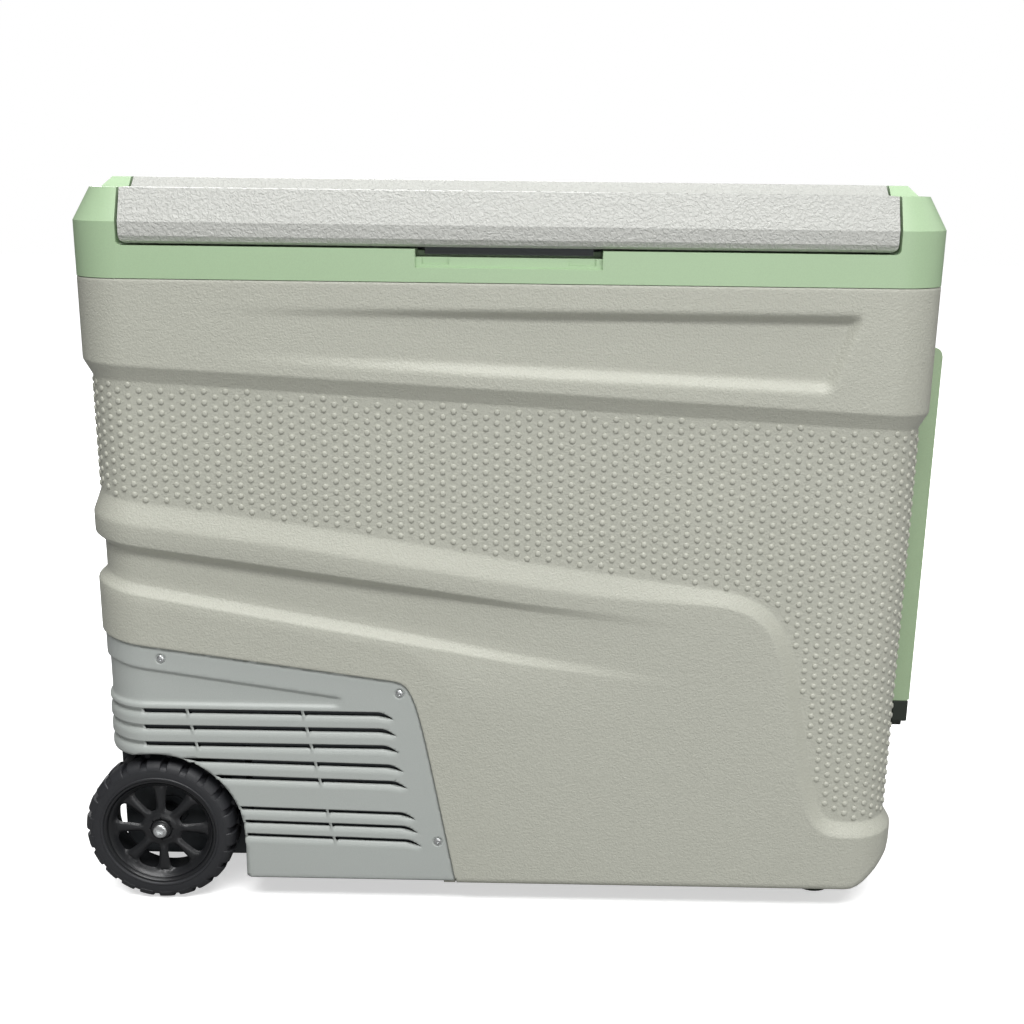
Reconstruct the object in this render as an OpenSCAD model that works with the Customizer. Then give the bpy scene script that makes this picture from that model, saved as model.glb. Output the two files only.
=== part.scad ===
// Wheeled compressor fridge for caravans and camping.
// +X runs to the pull handle, -X to the wheels, -Y is the vented long side, +Y the long side with the
// controls. The origin is on the ground, under the middle of the whole fridge.

/* [Body] */
// Length of the body at its top band
body_w = 694; // [690:1:697]
// Depth of the body between its two long sides
body_d = 400; // [396:2:420]
// Radius of the upright corners
corner_r = 45; // [42:1:48]
// Height of the underside of the body
base_z = 22; // [20:1:24]
// Height of the seam between body and collar
seam_z = 545; // [543:1:547]
// How far the dimpled panel and the grooves lie inside the band
inset = 7; // [5:0.5:8]
// Wall thickness of the moulded shells
wall = 3; // [2.5:0.5:3.5]
// Radius of the lower edge at the handle end
heel_r = 36; // [30:1:38]

/* [Collar and lid] */
// Height of the collar's front wall
collar_z = 570; // [569:0.5:571]
// Height of the crease along the lid and the ears
crease_z = 588; // [586:1:590]
// Height of the edge strip of the lid
strip_z = 613.5; // [612:0.5:614]
// Height of the raised middle of the lid
top_z = 621.5; // [620:0.5:622]
// Half the length of the lid
lid_half = 300; // [298:1:300]
// Gap between lid and collar
lid_gap = 1.5; // [1.2:0.1:2]

/* [Wheels] */
// Wheel radius over the tread
wheel_r = 66; // [65:0.5:67]
// Distance of the axle from the middle of the body
axle_x = 299; // [297:1:300]
// Width of the tyre
tyre_w = 38; // [34:1:38]
// Radius of the axle
axle_r = 6; // [5:0.5:7]

/* [Pull handle] */
// Outer width of the handle
handle_w = 260; // [240:4:268]
// Length of the handle from its pivot to its end
handle_l = 336; // [314:2:344]
// Height of the handle pivot
handle_z = 484; // [480:1:488]
// Distance of the outer face of the handle from the middle of the body
handle_x = 365; // [363:0.5:367]

/* [Cooling unit] */
// Height of the roof of the compressor bay
bay_z = 250; // [246:1:252]
// Half the depth of the food compartment
room_y = 152; // [148:1:153]
// Half the length of the food compartment
room_x = 296; // [292:1:296]
// Outer radius of the fan blades
fan_r = 54; // [48:1:56]

/* [Hidden] */
$fn = 48;
eps = 0.01;
half_w = body_w / 2;
half_d = body_d / 2;
wheel_y = half_d - 4;             // outer face of the tyres
hub_y = wheel_y - tyre_w / 2;     // middle of the tyres
bay_x = -36;                      // upright wall of the compressor bay at the floor
pod_x0 = -(axle_x - 74);          // inner end of the wheel housings
pod_y = wheel_y - tyre_w - 6;     // inner side of the wheel housings
pod_z = wheel_r + 80;             // roof of the wheel housings
end_x = -half_w + 5.2;            // outer face of the chassis end wall
liner_z = 556;                    // rim of the food compartment
hinge_y = half_d - 10;
hinge_z = collar_z + 9.5;
pivot_x = half_w + 10;            // axis of the pull handle
inlet_x = -8;                     // middle of the power inlet

// ---- helpers ----

// rounded rectangle seen from above
module plan(w, d, r) {
    square([w - 2 * r, d], center = true);
    square([w, d - 2 * r], center = true);
    for (sx = [-1, 1], sy = [-1, 1]) translate([sx * (w / 2 - r), sy * (d / 2 - r)]) circle(r, $fn = 64);
}
module block(w, d, r, z0, z1) {
    translate([0, 0, z0]) linear_extrude(z1 - z0) plan(w, d, r);
}
// body-sized block, pulled in by g on every side
module body_block(g, z0, z1) {
    block(body_w - 2 * g, body_d - 2 * g, corner_r - g, z0, z1);
}
// outline in X and Z, extruded along Y from y0 to y1
module along_y(y0, y1) {
    translate([0, y1, 0]) rotate([90, 0, 0]) linear_extrude(y1 - y0) children();
}
// outline in Y and Z, extruded along X from x0 to x1
module along_x(x0, x1) {
    translate([x0, 0, 0]) rotate([90, 0, 90]) linear_extrude(x1 - x0) children();
}
module rod_x(r, x0, x1, y, z) {
    translate([x0, y, z]) rotate([0, 90, 0]) cylinder(h = x1 - x0, r = r);
}
module rod_y(r, x, y0, y1, z) {
    translate([x, y1, z]) rotate([90, 0, 0]) cylinder(h = y1 - y0, r = r);
}
module box(lo, hi) {
    translate(lo) cube([hi[0] - lo[0], hi[1] - lo[1], hi[2] - lo[2]]);
}
// the same shape on both long sides
module both_sides() {
    children();
    mirror([0, 1, 0]) children();
}

// ---- outlines of the long sides, in X and Z ----

// lower edge of the band falls gently towards the handle
function band_low(x) = 461 - 0.051 * x;
band = [[-400, band_low(-400)], [400, band_low(400)], [400, seam_z], [-400, seam_z]];
// ridge that falls across the side, turns down near the handle end and runs into the bumper
ridge = [[-400, 376], [-167, 344], [13, 318], [150, 300], [190, 292], [215, 281], [235, 262], [246, 236],
    [252, 205], [262, 150], [268, 117], [278, 88], [400, 86], [400, base_z], [-400, base_z]];
groove = [[-400, 340], [14, 283], [140, 268], [160, 240], [140, 217], [14, 236], [-400, 308]];
// edge of the vent cover: top, slanted end, bottom and wheel arch
function cover_top(x) = 213 - 0.134 * (x + 93);
cover_edge = [[-400, cover_top(-400)], [-93, cover_top(-93)], [-80, 208], [-74, 197], [-39, base_z + 3],
    [-223, base_z + 3]];

module arch(r) {
    translate([-axle_x, wheel_r]) circle(r, $fn = 96);
}
module cover_outline() {
    difference() {
        polygon(concat(cover_edge, [[-223, 60], [-400, 60]]));
        arch(75);
        translate([-400, 0]) square([400 - 223, wheel_r]);
        translate([-400, 0]) square([400 - axle_x - 20, wheel_r + 73]);
    }
}
// opening in the body behind the cover, smaller all round so that the cover has a seat
module bay_opening() {
    polygon([[-330, 233], [-104, cover_top(-104) - 12], [-88, 190], [-54, 40], [-212, 40], [-212, 152],
        [-330, 152]]);
}

// ---- shells ----

// what the rounded lower edge of the handle end leaves out, g inside the shell
module heel(g) {
    r = heel_r - g;
    along_y(-half_d - 1, half_d + 1) difference() {
        translate([half_w - heel_r, base_z - 2]) square([heel_r + 2, heel_r + 2]);
        translate([half_w - heel_r, base_z + heel_r]) circle(r, $fn = 96);
        translate([half_w - heel_r - 1, base_z + heel_r]) square([heel_r + 4, 2]);
    }
}
module body_outer() {
    body_block(inset, base_z, seam_z);
    intersection() {
        body_block(0, base_z, seam_z);
        along_y(-half_d, half_d) polygon(band);
    }
    intersection() {
        body_block(0, base_z, seam_z);
        along_y(-half_d, half_d) difference() {
            polygon(ridge);
            polygon(groove);
        }
    }
}

module body_shell() {
    color([0.72, 0.72, 0.68]) difference() {
        body_outer();
        heel(0);
        difference() {
            body_block(inset + wall, base_z + wall, seam_z + 1);
            heel(wall);
        }
        // seats of the two vent covers
        both_sides() intersection() {
            difference() {
                body_block(-1, 0, seam_z);
                body_block(inset - 2, -1, seam_z + 1);
            }
            along_y(-half_d - 1, 0) polygon(concat(cover_edge, [[-223, 0], [-400, 0]]));
        }
        // openings behind the covers
        both_sides() along_y(-half_d - 1, -half_d + 30) bay_opening();
        box([-half_w - 1, -130, 152], [-half_w + 20, 130, 228]);
        // the bay floor and the wheel corners belong to the chassis
        box([-half_w - 1, -half_d - 1, base_z - 1], [pod_x0 + wall + 0.2, half_d + 1, pod_z + 0.2]);
        box([pod_x0, -half_d + 16, base_z - 1], [-50, half_d - 16, base_z + wall + 1]);
        // controls, power inlet and drain
        box([-70, half_d - 30, 476], [90, half_d + 1, 526]);
        box([inlet_x - 17, half_d - 30, 150], [inlet_x + 17, half_d + 1, 184]);
        translate([250, 0, base_z - 1]) cylinder(h = wall + 2, r = 11);
        // screws of the handle brackets
        for (sy = [-1, 1]) rod_x(2.6, half_w - 20, half_w + 1, sy * (handle_w / 2 - 16), handle_z + 12);
    }
}

module base_chassis() {
    color([0.2, 0.21, 0.2]) difference() {
        union() {
            // floor of the bay
            box([end_x, -pod_y, base_z], [pod_x0, pod_y, base_z + wall]);
            box([pod_x0, -half_d + 16.2, base_z], [-50.2, half_d - 16.2, base_z + wall]);
            // end wall between the wheels
            box([end_x, -pod_y, base_z], [end_x + wall, pod_y, pod_z]);
            both_sides() {
                // side, inner end and roof of a wheel housing
                box([end_x, -pod_y, base_z], [pod_x0 + wall, -pod_y + wall, pod_z]);
                box([pod_x0, -half_d + 10.2, base_z], [pod_x0 + wall, -pod_y, pod_z]);
                intersection() {
                    box([end_x, -half_d + 5.2, pod_z - wall], [pod_x0 + wall, -pod_y + wall, pod_z]);
                    body_block(5.2, 100, 200);
                }
                // axle boss
                rod_y(14, -axle_x, -pod_y - 2, -pod_y + 30, wheel_r);
                box([-axle_x - 3, -pod_y, base_z], [-axle_x + 3, -pod_y + 30, wheel_r]);
            }
        }
        rod_y(axle_r + 0.1, -axle_x, -half_d, half_d, wheel_r);
    }
}

// outer shape of the food compartment: deep at the handle end, a step over the compressor bay
module room(g) {
    difference() {
        block(2 * (room_x + g), 2 * (room_y + g), 26 + g, 64 - g, liner_z);
        box([-400, -200, 0], [-6 - g, 200, bay_z + 44 - g]);
    }
}
module inner_liner() {
    color([0.93, 0.94, 0.94]) {
        difference() {
            union() {
                room(2);
                block(2 * room_x + 36, 2 * room_y + 36, 34, liner_z - 2, liner_z);
            }
            room(0);
            block(2 * room_x, 2 * room_y, 26, liner_z - 10, liner_z + 1);
            translate([250, 0, 50]) cylinder(h = 20, r = 8);
        }
    }
}
module foam_insulation() {
    color([0.95, 0.9, 0.72]) difference() {
        body_block(inset + wall + 0.2, base_z + wall + 0.2, liner_z - 2.2);
        heel(wall + 0.3);
        room(6.4);
        // compressor bay
        box([-400, -200, 0], [bay_x + 0.2, 200, bay_z + 2.2]);
        block(2 * room_x + 12.8, 2 * room_y + 12.8, 32, liner_z - 30, liner_z);
        // room for the controls and the drain
        box([-72, half_d - 46, 474], [92, half_d, 528]);
        box([inlet_x - 20, half_d - 46, 148], [inlet_x + 20, half_d, 186]);
        translate([250, 0, 0]) cylinder(h = 80, r = 11);
        // rebate under the collar
        difference() {
            body_block(-1, seam_z - 0.2, 600);
            block(2 * room_x + 30, 2 * room_y + 30, 34, 500, 600);
        }
    }
}
module bay_bulkhead() {
    color([0.72, 0.73, 0.74]) {
        w = half_w - inset - wall - 1;
        d = half_d - inset - wall - 1;
        difference() {
            intersection() {
                union() {
                    box([bay_x - 1.2, -d, base_z + wall + 0.2], [bay_x, d, bay_z + 2]);
                    box([-w, -d, bay_z + 0.8], [bay_x, d, bay_z + 2]);
                }
                body_block(inset + wall + 0.6, 0, 300);
            }
            // pass-through of the two pipes
            rod_x(9, bay_x - 10, bay_x + 10, 172, 214);
        }
    }
}

// cross-section of lid and ears over the whole depth, in Y and Z; g pulls it in
function crown(g) = [
    [-half_d + 1 + g, crease_z], [-half_d + 11 + g, strip_z - g], [-158 + g, strip_z + 0.5 - g],
    [-149 + g, top_z - g], [149 - g, top_z - g], [158 - g, strip_z + 0.5 - g],
    [half_d - 11 - g, strip_z - g], [half_d - 1 - g, crease_z]];

module lid_section(g) {
    z0 = collar_z + lid_gap;
    polygon(concat(crown(g), [
        [half_d - 1 - g, z0 + 6], [half_d - 3 - g, z0 + 2 + g], [half_d - 7 - g, z0 + g],
        [-half_d + 7 + g, z0 + g], [-half_d + 3 + g, z0 + 2 + g], [-half_d + 1 + g, z0 + 6]]));
}
// ears lean in all round above the crease and share the crown of the lid
module ear_outer(g) {
    body_block(g, collar_z - 6, crease_z);
    hull() {
        block(body_w - 2 * g, body_d - 2 * g, corner_r - g, crease_z - eps, crease_z);
        block(body_w - 30 - 2 * g, body_d - 22 - 2 * g, corner_r - 13 - g, strip_z - g - eps, strip_z - g);
    }
    hull() {
        box([-half_w + 23 + g, -158 + g, strip_z - g - 1], [half_w - 23 - g, 158 - g, strip_z - g]);
        box([-half_w + 30 + g, -149 + g, top_z - g - eps], [half_w - 30 - g, 149 - g, top_z - g]);
    }
}
module collar_frame() {
    s = lid_half + 2;
    color([0.69, 0.77, 0.66]) difference() {
        union() {
            body_block(0, seam_z, collar_z);
            difference() {
                ear_outer(0);
                lid_bay(s);
            }
        }
        // hollow inside, open at the bottom
        difference() {
            body_block(wall, seam_z - 1, collar_z - wall);
            block(2 * room_x + 18, 2 * room_y + 18, 36, 500, 600);
        }
        difference() {
            ear_outer(wall);
            box([-s - wall, -210, 500], [s + wall, 210, 640]);
        }
        // mouth of the food compartment, with a rebate for the gasket
        block(2 * room_x - 4, 2 * room_y - 4, 24, 500, 600);
        block(2 * room_x + 38, 2 * room_y + 38, 36, seam_z - 1, liner_z + 0.2);
        // finger notch at the middle of each long side, deep enough above for the latch
        both_sides() {
            box([-71, -half_d - 1, 556], [74, -half_d + 4, 600]);
            box([-71, -half_d + 3, 564], [74, -room_y - 22, 600]);
        }
        // bores of the hinge pins
        for (sx = [-1, 1]) rod_x(3.05, sx * (s + 8) - 12, sx * (s + 8) + 12, hinge_y, hinge_z);
        // mating face of the lid gasket sits under the lid
        box([-s, -room_y - 24, collar_z - 2], [s, room_y + 24, 600]);
    }
    color([0.69, 0.77, 0.66]) both_sides() notch_pocket();
}
// space between the ears, with a small round in its two lower corners
module lid_bay(s, r = 3.5) {
    along_y(-210, 210) union() {
        for (sx = [-1, 1]) translate([sx * (s - r), collar_z + r]) circle(r);
        translate([-s + r, collar_z]) square([2 * (s - r), 80]);
        translate([-s, collar_z + r]) square([2 * s, 80]);
    }
}
// walls behind and below a finger notch, with two keeper pockets
module notch_pocket() {
    difference() {
        box([-74, -half_d + 1, 553], [77, -half_d + 8, 564]);
        box([-71, -half_d - 1, 556], [74, -half_d + 4, 570]);
        for (x = [-66, 48]) box([x, -half_d + 3, 558.5], [x + 21, -half_d + 6.5, 570]);
    }
}

// ---- lid ----

module lid_outer() {
    color([0.83, 0.84, 0.82]) difference() {
        intersection() {
            along_x(-lid_half, lid_half) lid_section(0);
            // lower corners at the ends of the lid
            translate([0, 0, lid_gap]) lid_bay(lid_half, 5);
        }
        along_x(-lid_half + wall, lid_half - wall) lid_section(wall);
        // mouth of the moulding, closed by the inner panel
        box([-lid_half + 14, -half_d + 14, collar_z], [lid_half - 14, half_d - 14, collar_z + 8]);
        // pocket for the latch behind the front lip
        box([-69, -half_d + 7.5, collar_z], [72, -half_d + 19, collar_z + 9]);
        rod_x(2.65, -75, 78, -half_d + 14, collar_z + 5.4);
        for (sx = [-1, 1]) rod_x(3.05, sx * lid_half - 10, sx * lid_half + 10, hinge_y, hinge_z);
    }
    // bosses of the latch pivot
    color([0.83, 0.84, 0.82]) for (x = [-74, 72]) difference() {
        box([x, -half_d + 10, collar_z + lid_gap + 1], [x + 5, -half_d + 18, collar_z + lid_gap + 8.5]);
        rod_x(2.65, x - 1, x + 6, -half_d + 14, collar_z + 5.4);
    }
    // bosses of the hinge pins
    color([0.83, 0.84, 0.82]) for (sx = [-1, 1]) difference() {
        x0 = sx > 0 ? lid_half - 11 : -lid_half + wall;
        rod_x(6, x0, x0 + 8, hinge_y - 0.5, hinge_z + 0.5);
        rod_x(3.05, x0 - 1, x0 + 9, hinge_y, hinge_z);
    }
}
module lid_inner() {
    z = collar_z - 1.6;
    color([0.93, 0.94, 0.94]) difference() {
        union() {
            block(2 * lid_half - 29, 2 * half_d - 29, 20, z + 3, z + 6);
            // raised pan that fills the mouth of the compartment
            block(2 * room_x - 24, 2 * room_y - 24, 20, z - 14, z + 6);
        }
        block(2 * room_x - 30, 2 * room_y - 30, 17, z - 11, z + 7);
        // clearance for the latch
        box([-75, -half_d + 9, z + 2], [78, -half_d + 20, z + 7]);
        // recess of the interior light
        box([-34, -12, z - 15], [34, 12, z - 8]);
    }
}
module lid_foam() {
    color([0.95, 0.9, 0.72]) intersection() {
        along_x(-lid_half + wall + 10, lid_half - wall - 10) lid_section(wall + 0.3);
        union() {
            box([-400, -half_d + 28, collar_z + 4.6], [400, half_d - 28, 640]);
            block(2 * room_x - 31, 2 * room_y - 31, 16, 540, 600);
        }
    }
}
module lid_gasket() {
    color([0.3, 0.31, 0.31]) difference() {
        block(2 * room_x + 6, 2 * room_y + 14, 27, collar_z - 2, collar_z + 1.4);
        block(2 * room_x - 4, 2 * room_y - 4, 22, collar_z - 3, collar_z + 2);
    }
}
module lid_hinge_pins() {
    color([0.7, 0.7, 0.72]) for (sx = [-1, 1])
        rod_x(3, sx * (lid_half + 3) - 12, sx * (lid_half + 3) + 12, hinge_y, hinge_z);
}
module lid_latch() {
    z = collar_z - 4;
    color([0.12, 0.12, 0.12]) union() {
        box([-64, -half_d + 9, z], [67, -half_d + 16, z + 7]);
        rod_x(2.6, -72, 75, -half_d + 14, z + 9.4);
        box([-64, -half_d + 12, z + 6], [67, -half_d + 16, z + 10]);
    }
}

// ---- vent covers and running gear ----

// slot along the cover between x0 and x1, with a tail that rises with the slanted end
module slot(x0, x1, z, h) {
    translate([0, 0, z]) box([x0, -half_d - 3, 0], [x1, -half_d + 21, h]);
}
slot_z = [180, 165, 149.5, 132.5, 116.5];
slot_low = [87, 74, 61.5];
module vent_cover() {
    g = 2.5;
    color([0.6, 0.62, 0.6]) difference() {
        intersection() {
            difference() {
                body_block(g, base_z, 260);
                body_block(g + 2.4, base_z - 1, 261);
            }
            along_y(-half_d - 1, -0.2) cover_outline();
        }
        // five long slots; the upper three run round the corner
        for (i = [0:4]) {
            first = i < 3 ? -331 : -258 + 22 * (i - 3);
            last = -97 + 4 * i;
            if (i < 3) slot(first, -264 + i, slot_z[i], 6.5);
            slot(i < 3 ? -256 + i : first, -168 + 3 * i, slot_z[i], 6.5);
            slot(-160 + 3 * i, last, slot_z[i], 6.5);
        }
        for (i = [0:2]) {
            slot(-214, -152 + i, slot_low[i], 5.5);
            slot(-146 + i, -74 + 3 * i, slot_low[i], 5.5);
            // matching slots in the end face
            box([-half_w - 1, -136, slot_z[i]], [-half_w + 20, -6, slot_z[i] + 6.5]);
        }
        for (p = cover_holes) rod_y(2.1, p[0], -half_d - 1, -half_d + 12, p[1]);
    }
}
cover_holes = [[-288, 229], [-87, 201], [-55, 63]];
module vent_cover_front() { vent_cover(); }
module vent_cover_rear() { mirror([0, 1, 0]) vent_cover(); }
module cover_screws() {
    color([0.75, 0.75, 0.76]) both_sides() for (p = cover_holes) difference() {
        union() {
            rod_y(1.9, p[0], -half_d + 2, -half_d + 4.9, p[1]);
            intersection() {
                rod_y(3.5, p[0], -half_d + 0.4, -half_d + 2.5, p[1]);
                translate([p[0], -half_d + 5.2, p[1]]) sphere(r = 5.1);
            }
        }
        for (a = [0, 90]) translate([p[0], -half_d, p[1]]) rotate([0, a, 0])
            cube([4, 2.4, 0.9], center = true);
    }
}
module axle() {
    color([0.6, 0.6, 0.62]) difference() {
        rod_y(axle_r, -axle_x, -hub_y - 12, hub_y + 12, wheel_r);
        for (sy = [-1, 1]) translate([0, sy * (hub_y + 2), 0])
            rod_y(3.4, -axle_x, -12, 12, wheel_r);
    }
}
module axle_screws() {
    color([0.8, 0.8, 0.82]) both_sides() difference() {
        union() {
            rod_y(3.3, -axle_x, -hub_y - 12.1, -hub_y + 6, wheel_r);
            rod_y(8.4, -axle_x, -hub_y - 13.5, -hub_y - 12, wheel_r);
            rod_y(6.5, -axle_x, -hub_y - 18, -hub_y - 13.5, wheel_r);
        }
        translate([-axle_x, -hub_y - 14.5, wheel_r]) rotate([90, 0, 0]) cylinder(h = 6, r = 3.4, $fn = 6);
    }
}
// spoked hub, made about the Y axis and shifted to the axle
module wheel_hub() {
    r = wheel_r - 18;
    translate([-axle_x, -hub_y, wheel_r]) color([0.13, 0.13, 0.13]) difference() {
        union() {
            rotate([90, 0, 0]) rotate_extrude($fn = 96) polygon([[r - 4, -17], [r, -17], [r, 17],
                [r - 1.5, 18.6], [r - 4, 18.6]]);
            rotate([90, 0, 0]) translate([0, 0, -15.5]) cylinder(h = 27, r = 14);
            for (a = [0:45:359]) rotate([0, a, 0]) {
                box([10, -9, -3.4], [r - 3, 4, 3.4]);
                box([10, 3.9, -1.6], [r - 3, 13, 1.6]);
            }
        }
        rotate([90, 0, 0]) cylinder(h = 60, r = axle_r + 0.08, center = true);
    }
}
module tyre() {
    r = wheel_r - 18;
    t = tyre_w / 2;
    translate([-axle_x, -hub_y, wheel_r]) color([0.09, 0.09, 0.09]) difference() {
        rotate([90, 0, 0]) rotate_extrude($fn = 96) polygon([[r + 0.05, -t + 2], [r + 1, -t],
            [r + 9, -t], [wheel_r - 3, -t + 3], [wheel_r, -t + 8], [wheel_r, t - 8], [wheel_r - 3, t - 3],
            [r + 9, t], [r + 1, t], [r + 0.05, t - 2]]);
        for (a = [0:15:359]) rotate([0, a + 7.5, 0]) {
            box([wheel_r - 3.4, -t - 1, -1.8], [wheel_r + 2, -3, 1.8]);
            rotate([0, 7.5, 0]) box([wheel_r - 3.4, 3, -1.8], [wheel_r + 2, t + 1, 1.8]);
        }
    }
}
module wheel_hub_front() { wheel_hub(); }
module wheel_hub_rear() { mirror([0, 1, 0]) wheel_hub(); }
module tyre_front() { tyre(); }
module tyre_rear() { mirror([0, 1, 0]) tyre(); }
module rubber_feet() {
    color([0.1, 0.1, 0.1]) for (y = [-145, 145]) translate([285, y, 0]) {
        rotate_extrude($fn = 48) polygon([[0, 0], [17, 0], [19, 2], [21, base_z], [0, base_z]]);
    }
}

// ---- pull handle ----

module tow_handle() {
    w = handle_w / 2;
    x0 = half_w + 2;
    x1 = handle_x;
    zb = handle_z - handle_l;
    color([0.5, 0.57, 0.46]) difference() {
        union() {
            for (sy = [-1, 1]) {
                box([x0, sy > 0 ? w - 20 : -w, zb + 26], [x1 - 2, sy > 0 ? w : -w + 20, handle_z]);
                box([x1 - 2 - eps, sy > 0 ? w - 18 : -w + 2, zb + 26],
                    [x1, sy > 0 ? w - 2 : -w + 18, handle_z]);
                rod_y(7, pivot_x, sy > 0 ? w - 20 : -w, sy > 0 ? w : -w + 20, handle_z);
            }
            box([x0 + 2, -w, zb + 26], [x1 - 2, w, zb + 34]);
        }
        // blind bores of the pins
        rod_y(4.05, pivot_x, -w + 3, w - 3, handle_z);
    }
}
module handle_grip() {
    w = handle_w / 2;
    zb = handle_z - handle_l;
    color([0.13, 0.16, 0.13]) union() {
        box([half_w + 3, -w, zb + 6], [handle_x - 1, w, zb + 25.8]);
        box([half_w + 5, -w + 5, zb], [handle_x - 4, w - 5, zb + 6]);
    }
}
module handle_pins() {
    w = handle_w / 2;
    color([0.7, 0.7, 0.72]) for (sy = [-1, 1])
        rod_y(4, pivot_x, sy * (w - 16.5) - 13.3, sy * (w - 16.5) + 13.3, handle_z);
}
module handle_brackets() {
    w = handle_w / 2;
    color([0.69, 0.77, 0.66]) for (sy = [-1, 1]) difference() {
        y0 = sy > 0 ? w - 28 : -w + 20.4;
        union() {
            box([half_w + 0.01, y0, handle_z - 12], [pivot_x, y0 + 7.6, handle_z + 18]);
            rod_y(7, pivot_x, y0, y0 + 7.6, handle_z);
            box([half_w + 0.01, sy > 0 ? w - 28 : -w + 8, handle_z + 10],
                [half_w + 3, sy > 0 ? w - 8 : -w + 28, handle_z + 20]);
        }
        rod_y(4.05, pivot_x, y0 - 1, y0 + 9, handle_z);
        rod_x(2.6, half_w - 1, half_w + 5, sy * (w - 16), handle_z + 15);
    }
}

// ---- cooling unit ----

comp = [-120, 20, base_z + wall];
module compressor() {
    color([0.1, 0.1, 0.11]) translate(comp) {
        translate([0, 0, 22]) rotate_extrude($fn = 64) polygon([[0, 0], [46, 0], [56, 8], [60, 18], [60, 62],
            [58, 62], [58, 66], [60, 66], [60, 92], [52, 108], [36, 118], [0, 122]]);
        box([-66, -50, 14], [66, -40, 18]);
        box([-66, 40, 14], [66, 50, 18]);
        for (y = [-45, 45]) box([-30, y - 5, 17], [30, y + 5, 30]);
        box([-24, -76, 58], [24, -52, 100]);
    }
}
module compressor_grommets() {
    color([0.15, 0.15, 0.15]) translate(comp) for (sx = [-1, 1], sy = [-1, 1])
        translate([sx * 56, sy * 45, 0]) cylinder(h = 13.9, r = 9);
}
fan_x = -214;
fan_c = [fan_x, 20, 166];
module condenser_coil() {
    color([0.78, 0.5, 0.36]) for (i = [0:4]) {
        rod_y(3.2, -296, -74, 114, 162 + 16 * i - 8);
        if (i < 4) for (y = [-74, 114]) translate([-296, y, 162 + 16 * i])
            rotate([0, 0, y > 0 ? 0 : 180]) rotate([0, -90, 0])
            rotate_extrude(angle = 180, $fn = 32) translate([8, 0]) circle(3.2, $fn = 16);
    }
}
module condenser_fins() {
    color([0.8, 0.81, 0.82]) difference() {
        for (i = [0:23]) box([-312, -62 + 7 * i, 148], [-280, -61 + 7 * i, 232]);
        for (i = [0:4]) rod_y(3.3, -296, -90, 130, 162 + 16 * i - 8);
    }
}
module fan_frame() {
    color([0.14, 0.14, 0.15]) translate(fan_c) difference() {
        union() {
            box([-12, -60, -60], [12, 60, 60]);
            box([-12, -60, -141 + 0.05], [12, -50, -59]);
            box([-12, 50, -141 + 0.05], [12, 60, -59]);
        }
        rotate([0, 90, 0]) cylinder(h = 40, r = fan_r + 2, center = true, $fn = 96);
    }
    color([0.14, 0.14, 0.15]) translate(fan_c) difference() {
        union() {
            for (a = [45:90:359]) rotate([a, 0, 0]) box([8, 18, -3], [12, fan_r + 6, 3]);
            rotate([0, 90, 0]) translate([0, 0, 8]) cylinder(h = 4, r = 20);
        }
        rotate([0, 90, 0]) cylinder(h = 40, r = 3.05, center = true);
    }
}
module fan_rotor() {
    color([0.22, 0.22, 0.23]) translate(fan_c) union() {
        rotate([0, 90, 0]) translate([0, 0, -10]) difference() {
            cylinder(h = 17, r = 19);
            translate([0, 0, 3]) cylinder(h = 15, r = 16.5);
        }
        rotate([0, 90, 0]) translate([0, 0, -9]) cylinder(h = 19, r = 3);
        for (a = [0:360 / 7:359]) rotate([a, 0, 0]) rotate([0, 0, 0]) translate([-1.5, 18, 0])
            rotate([0, 32, 0]) box([-1, -1, -9], [1, fan_r - 20, 9]);
    }
}
module fan_motor() {
    color([0.7, 0.7, 0.72]) translate(fan_c) rotate([0, 90, 0]) translate([0, 0, -6.4]) difference() {
        cylinder(h = 14.4, r = 15.8);
        translate([0, 0, -1]) cylinder(h = 20, r = 3.4);
    }
}
// bent pipe: straight runs joined by balls
module pipe(points, r) {
    for (i = [0:len(points) - 2]) {
        a = points[i];
        b = points[i + 1];
        v = b - a;
        l = norm(v);
        translate(a) rotate([0, acos(v[2] / l), atan2(v[1], v[0])]) cylinder(h = l, r = r, $fn = 16);
        if (i > 0) translate(a) sphere(r = r + 0.3, $fn = 16);
    }
}
module refrigerant_pipes() {
    color([0.78, 0.5, 0.36]) {
        pipe([[-120, 80.2, 96], [-120, 172, 96], [-120, 172, 214], [-38, 172, 214]], 4);
        pipe([[-120, -34, 156.5], [-160, -34, 200], [-262, -100, 226], [-296, -82.2, 226]], 3);
    }
}
module filter_drier() {
    color([0.78, 0.5, 0.36]) translate([-190, 150, 58]) {
        cylinder(h = 70, r = 10);
        translate([0, 0, 70 - eps]) cylinder(h = 12, r1 = 10, r2 = 3.4, $fn = 32);
        translate([0, 0, -12]) cylinder(h = 12 + eps, r1 = 3.4, r2 = 10, $fn = 32);
    }
}
module evaporator_tube() {
    x = room_x + 4.1;
    y = room_y + 4.1;
    color([0.78, 0.5, 0.36]) for (i = [0:5]) difference() {
        block(2 * x, 2 * y, 30, 330 + 30 * i, 334 + 30 * i);
        block(2 * x - 3.6, 2 * y - 3.6, 28.2, 329 + 30 * i, 335 + 30 * i);
    }
}
module control_board() {
    color([0.15, 0.4, 0.22]) {
        box([-210, 96, 190], [-60, 162, 191.6]);
        for (i = [0:4]) box([-204 + 26 * i, 104, 191.6], [-190 + 26 * i, 124, 203]);
        box([-190, 130, 191.6], [-130, 156, 206]);
        for (x = [-206, -68]) box([x, 122, 186], [x + 6, 130, 190]);
    }
    color([0.15, 0.15, 0.15]) for (x = [-206, -68]) box([x, 128, 191.6], [x + 6, 136, bay_z + 0.8]);
}

// ---- controls, inlet, light, baskets ----

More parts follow.
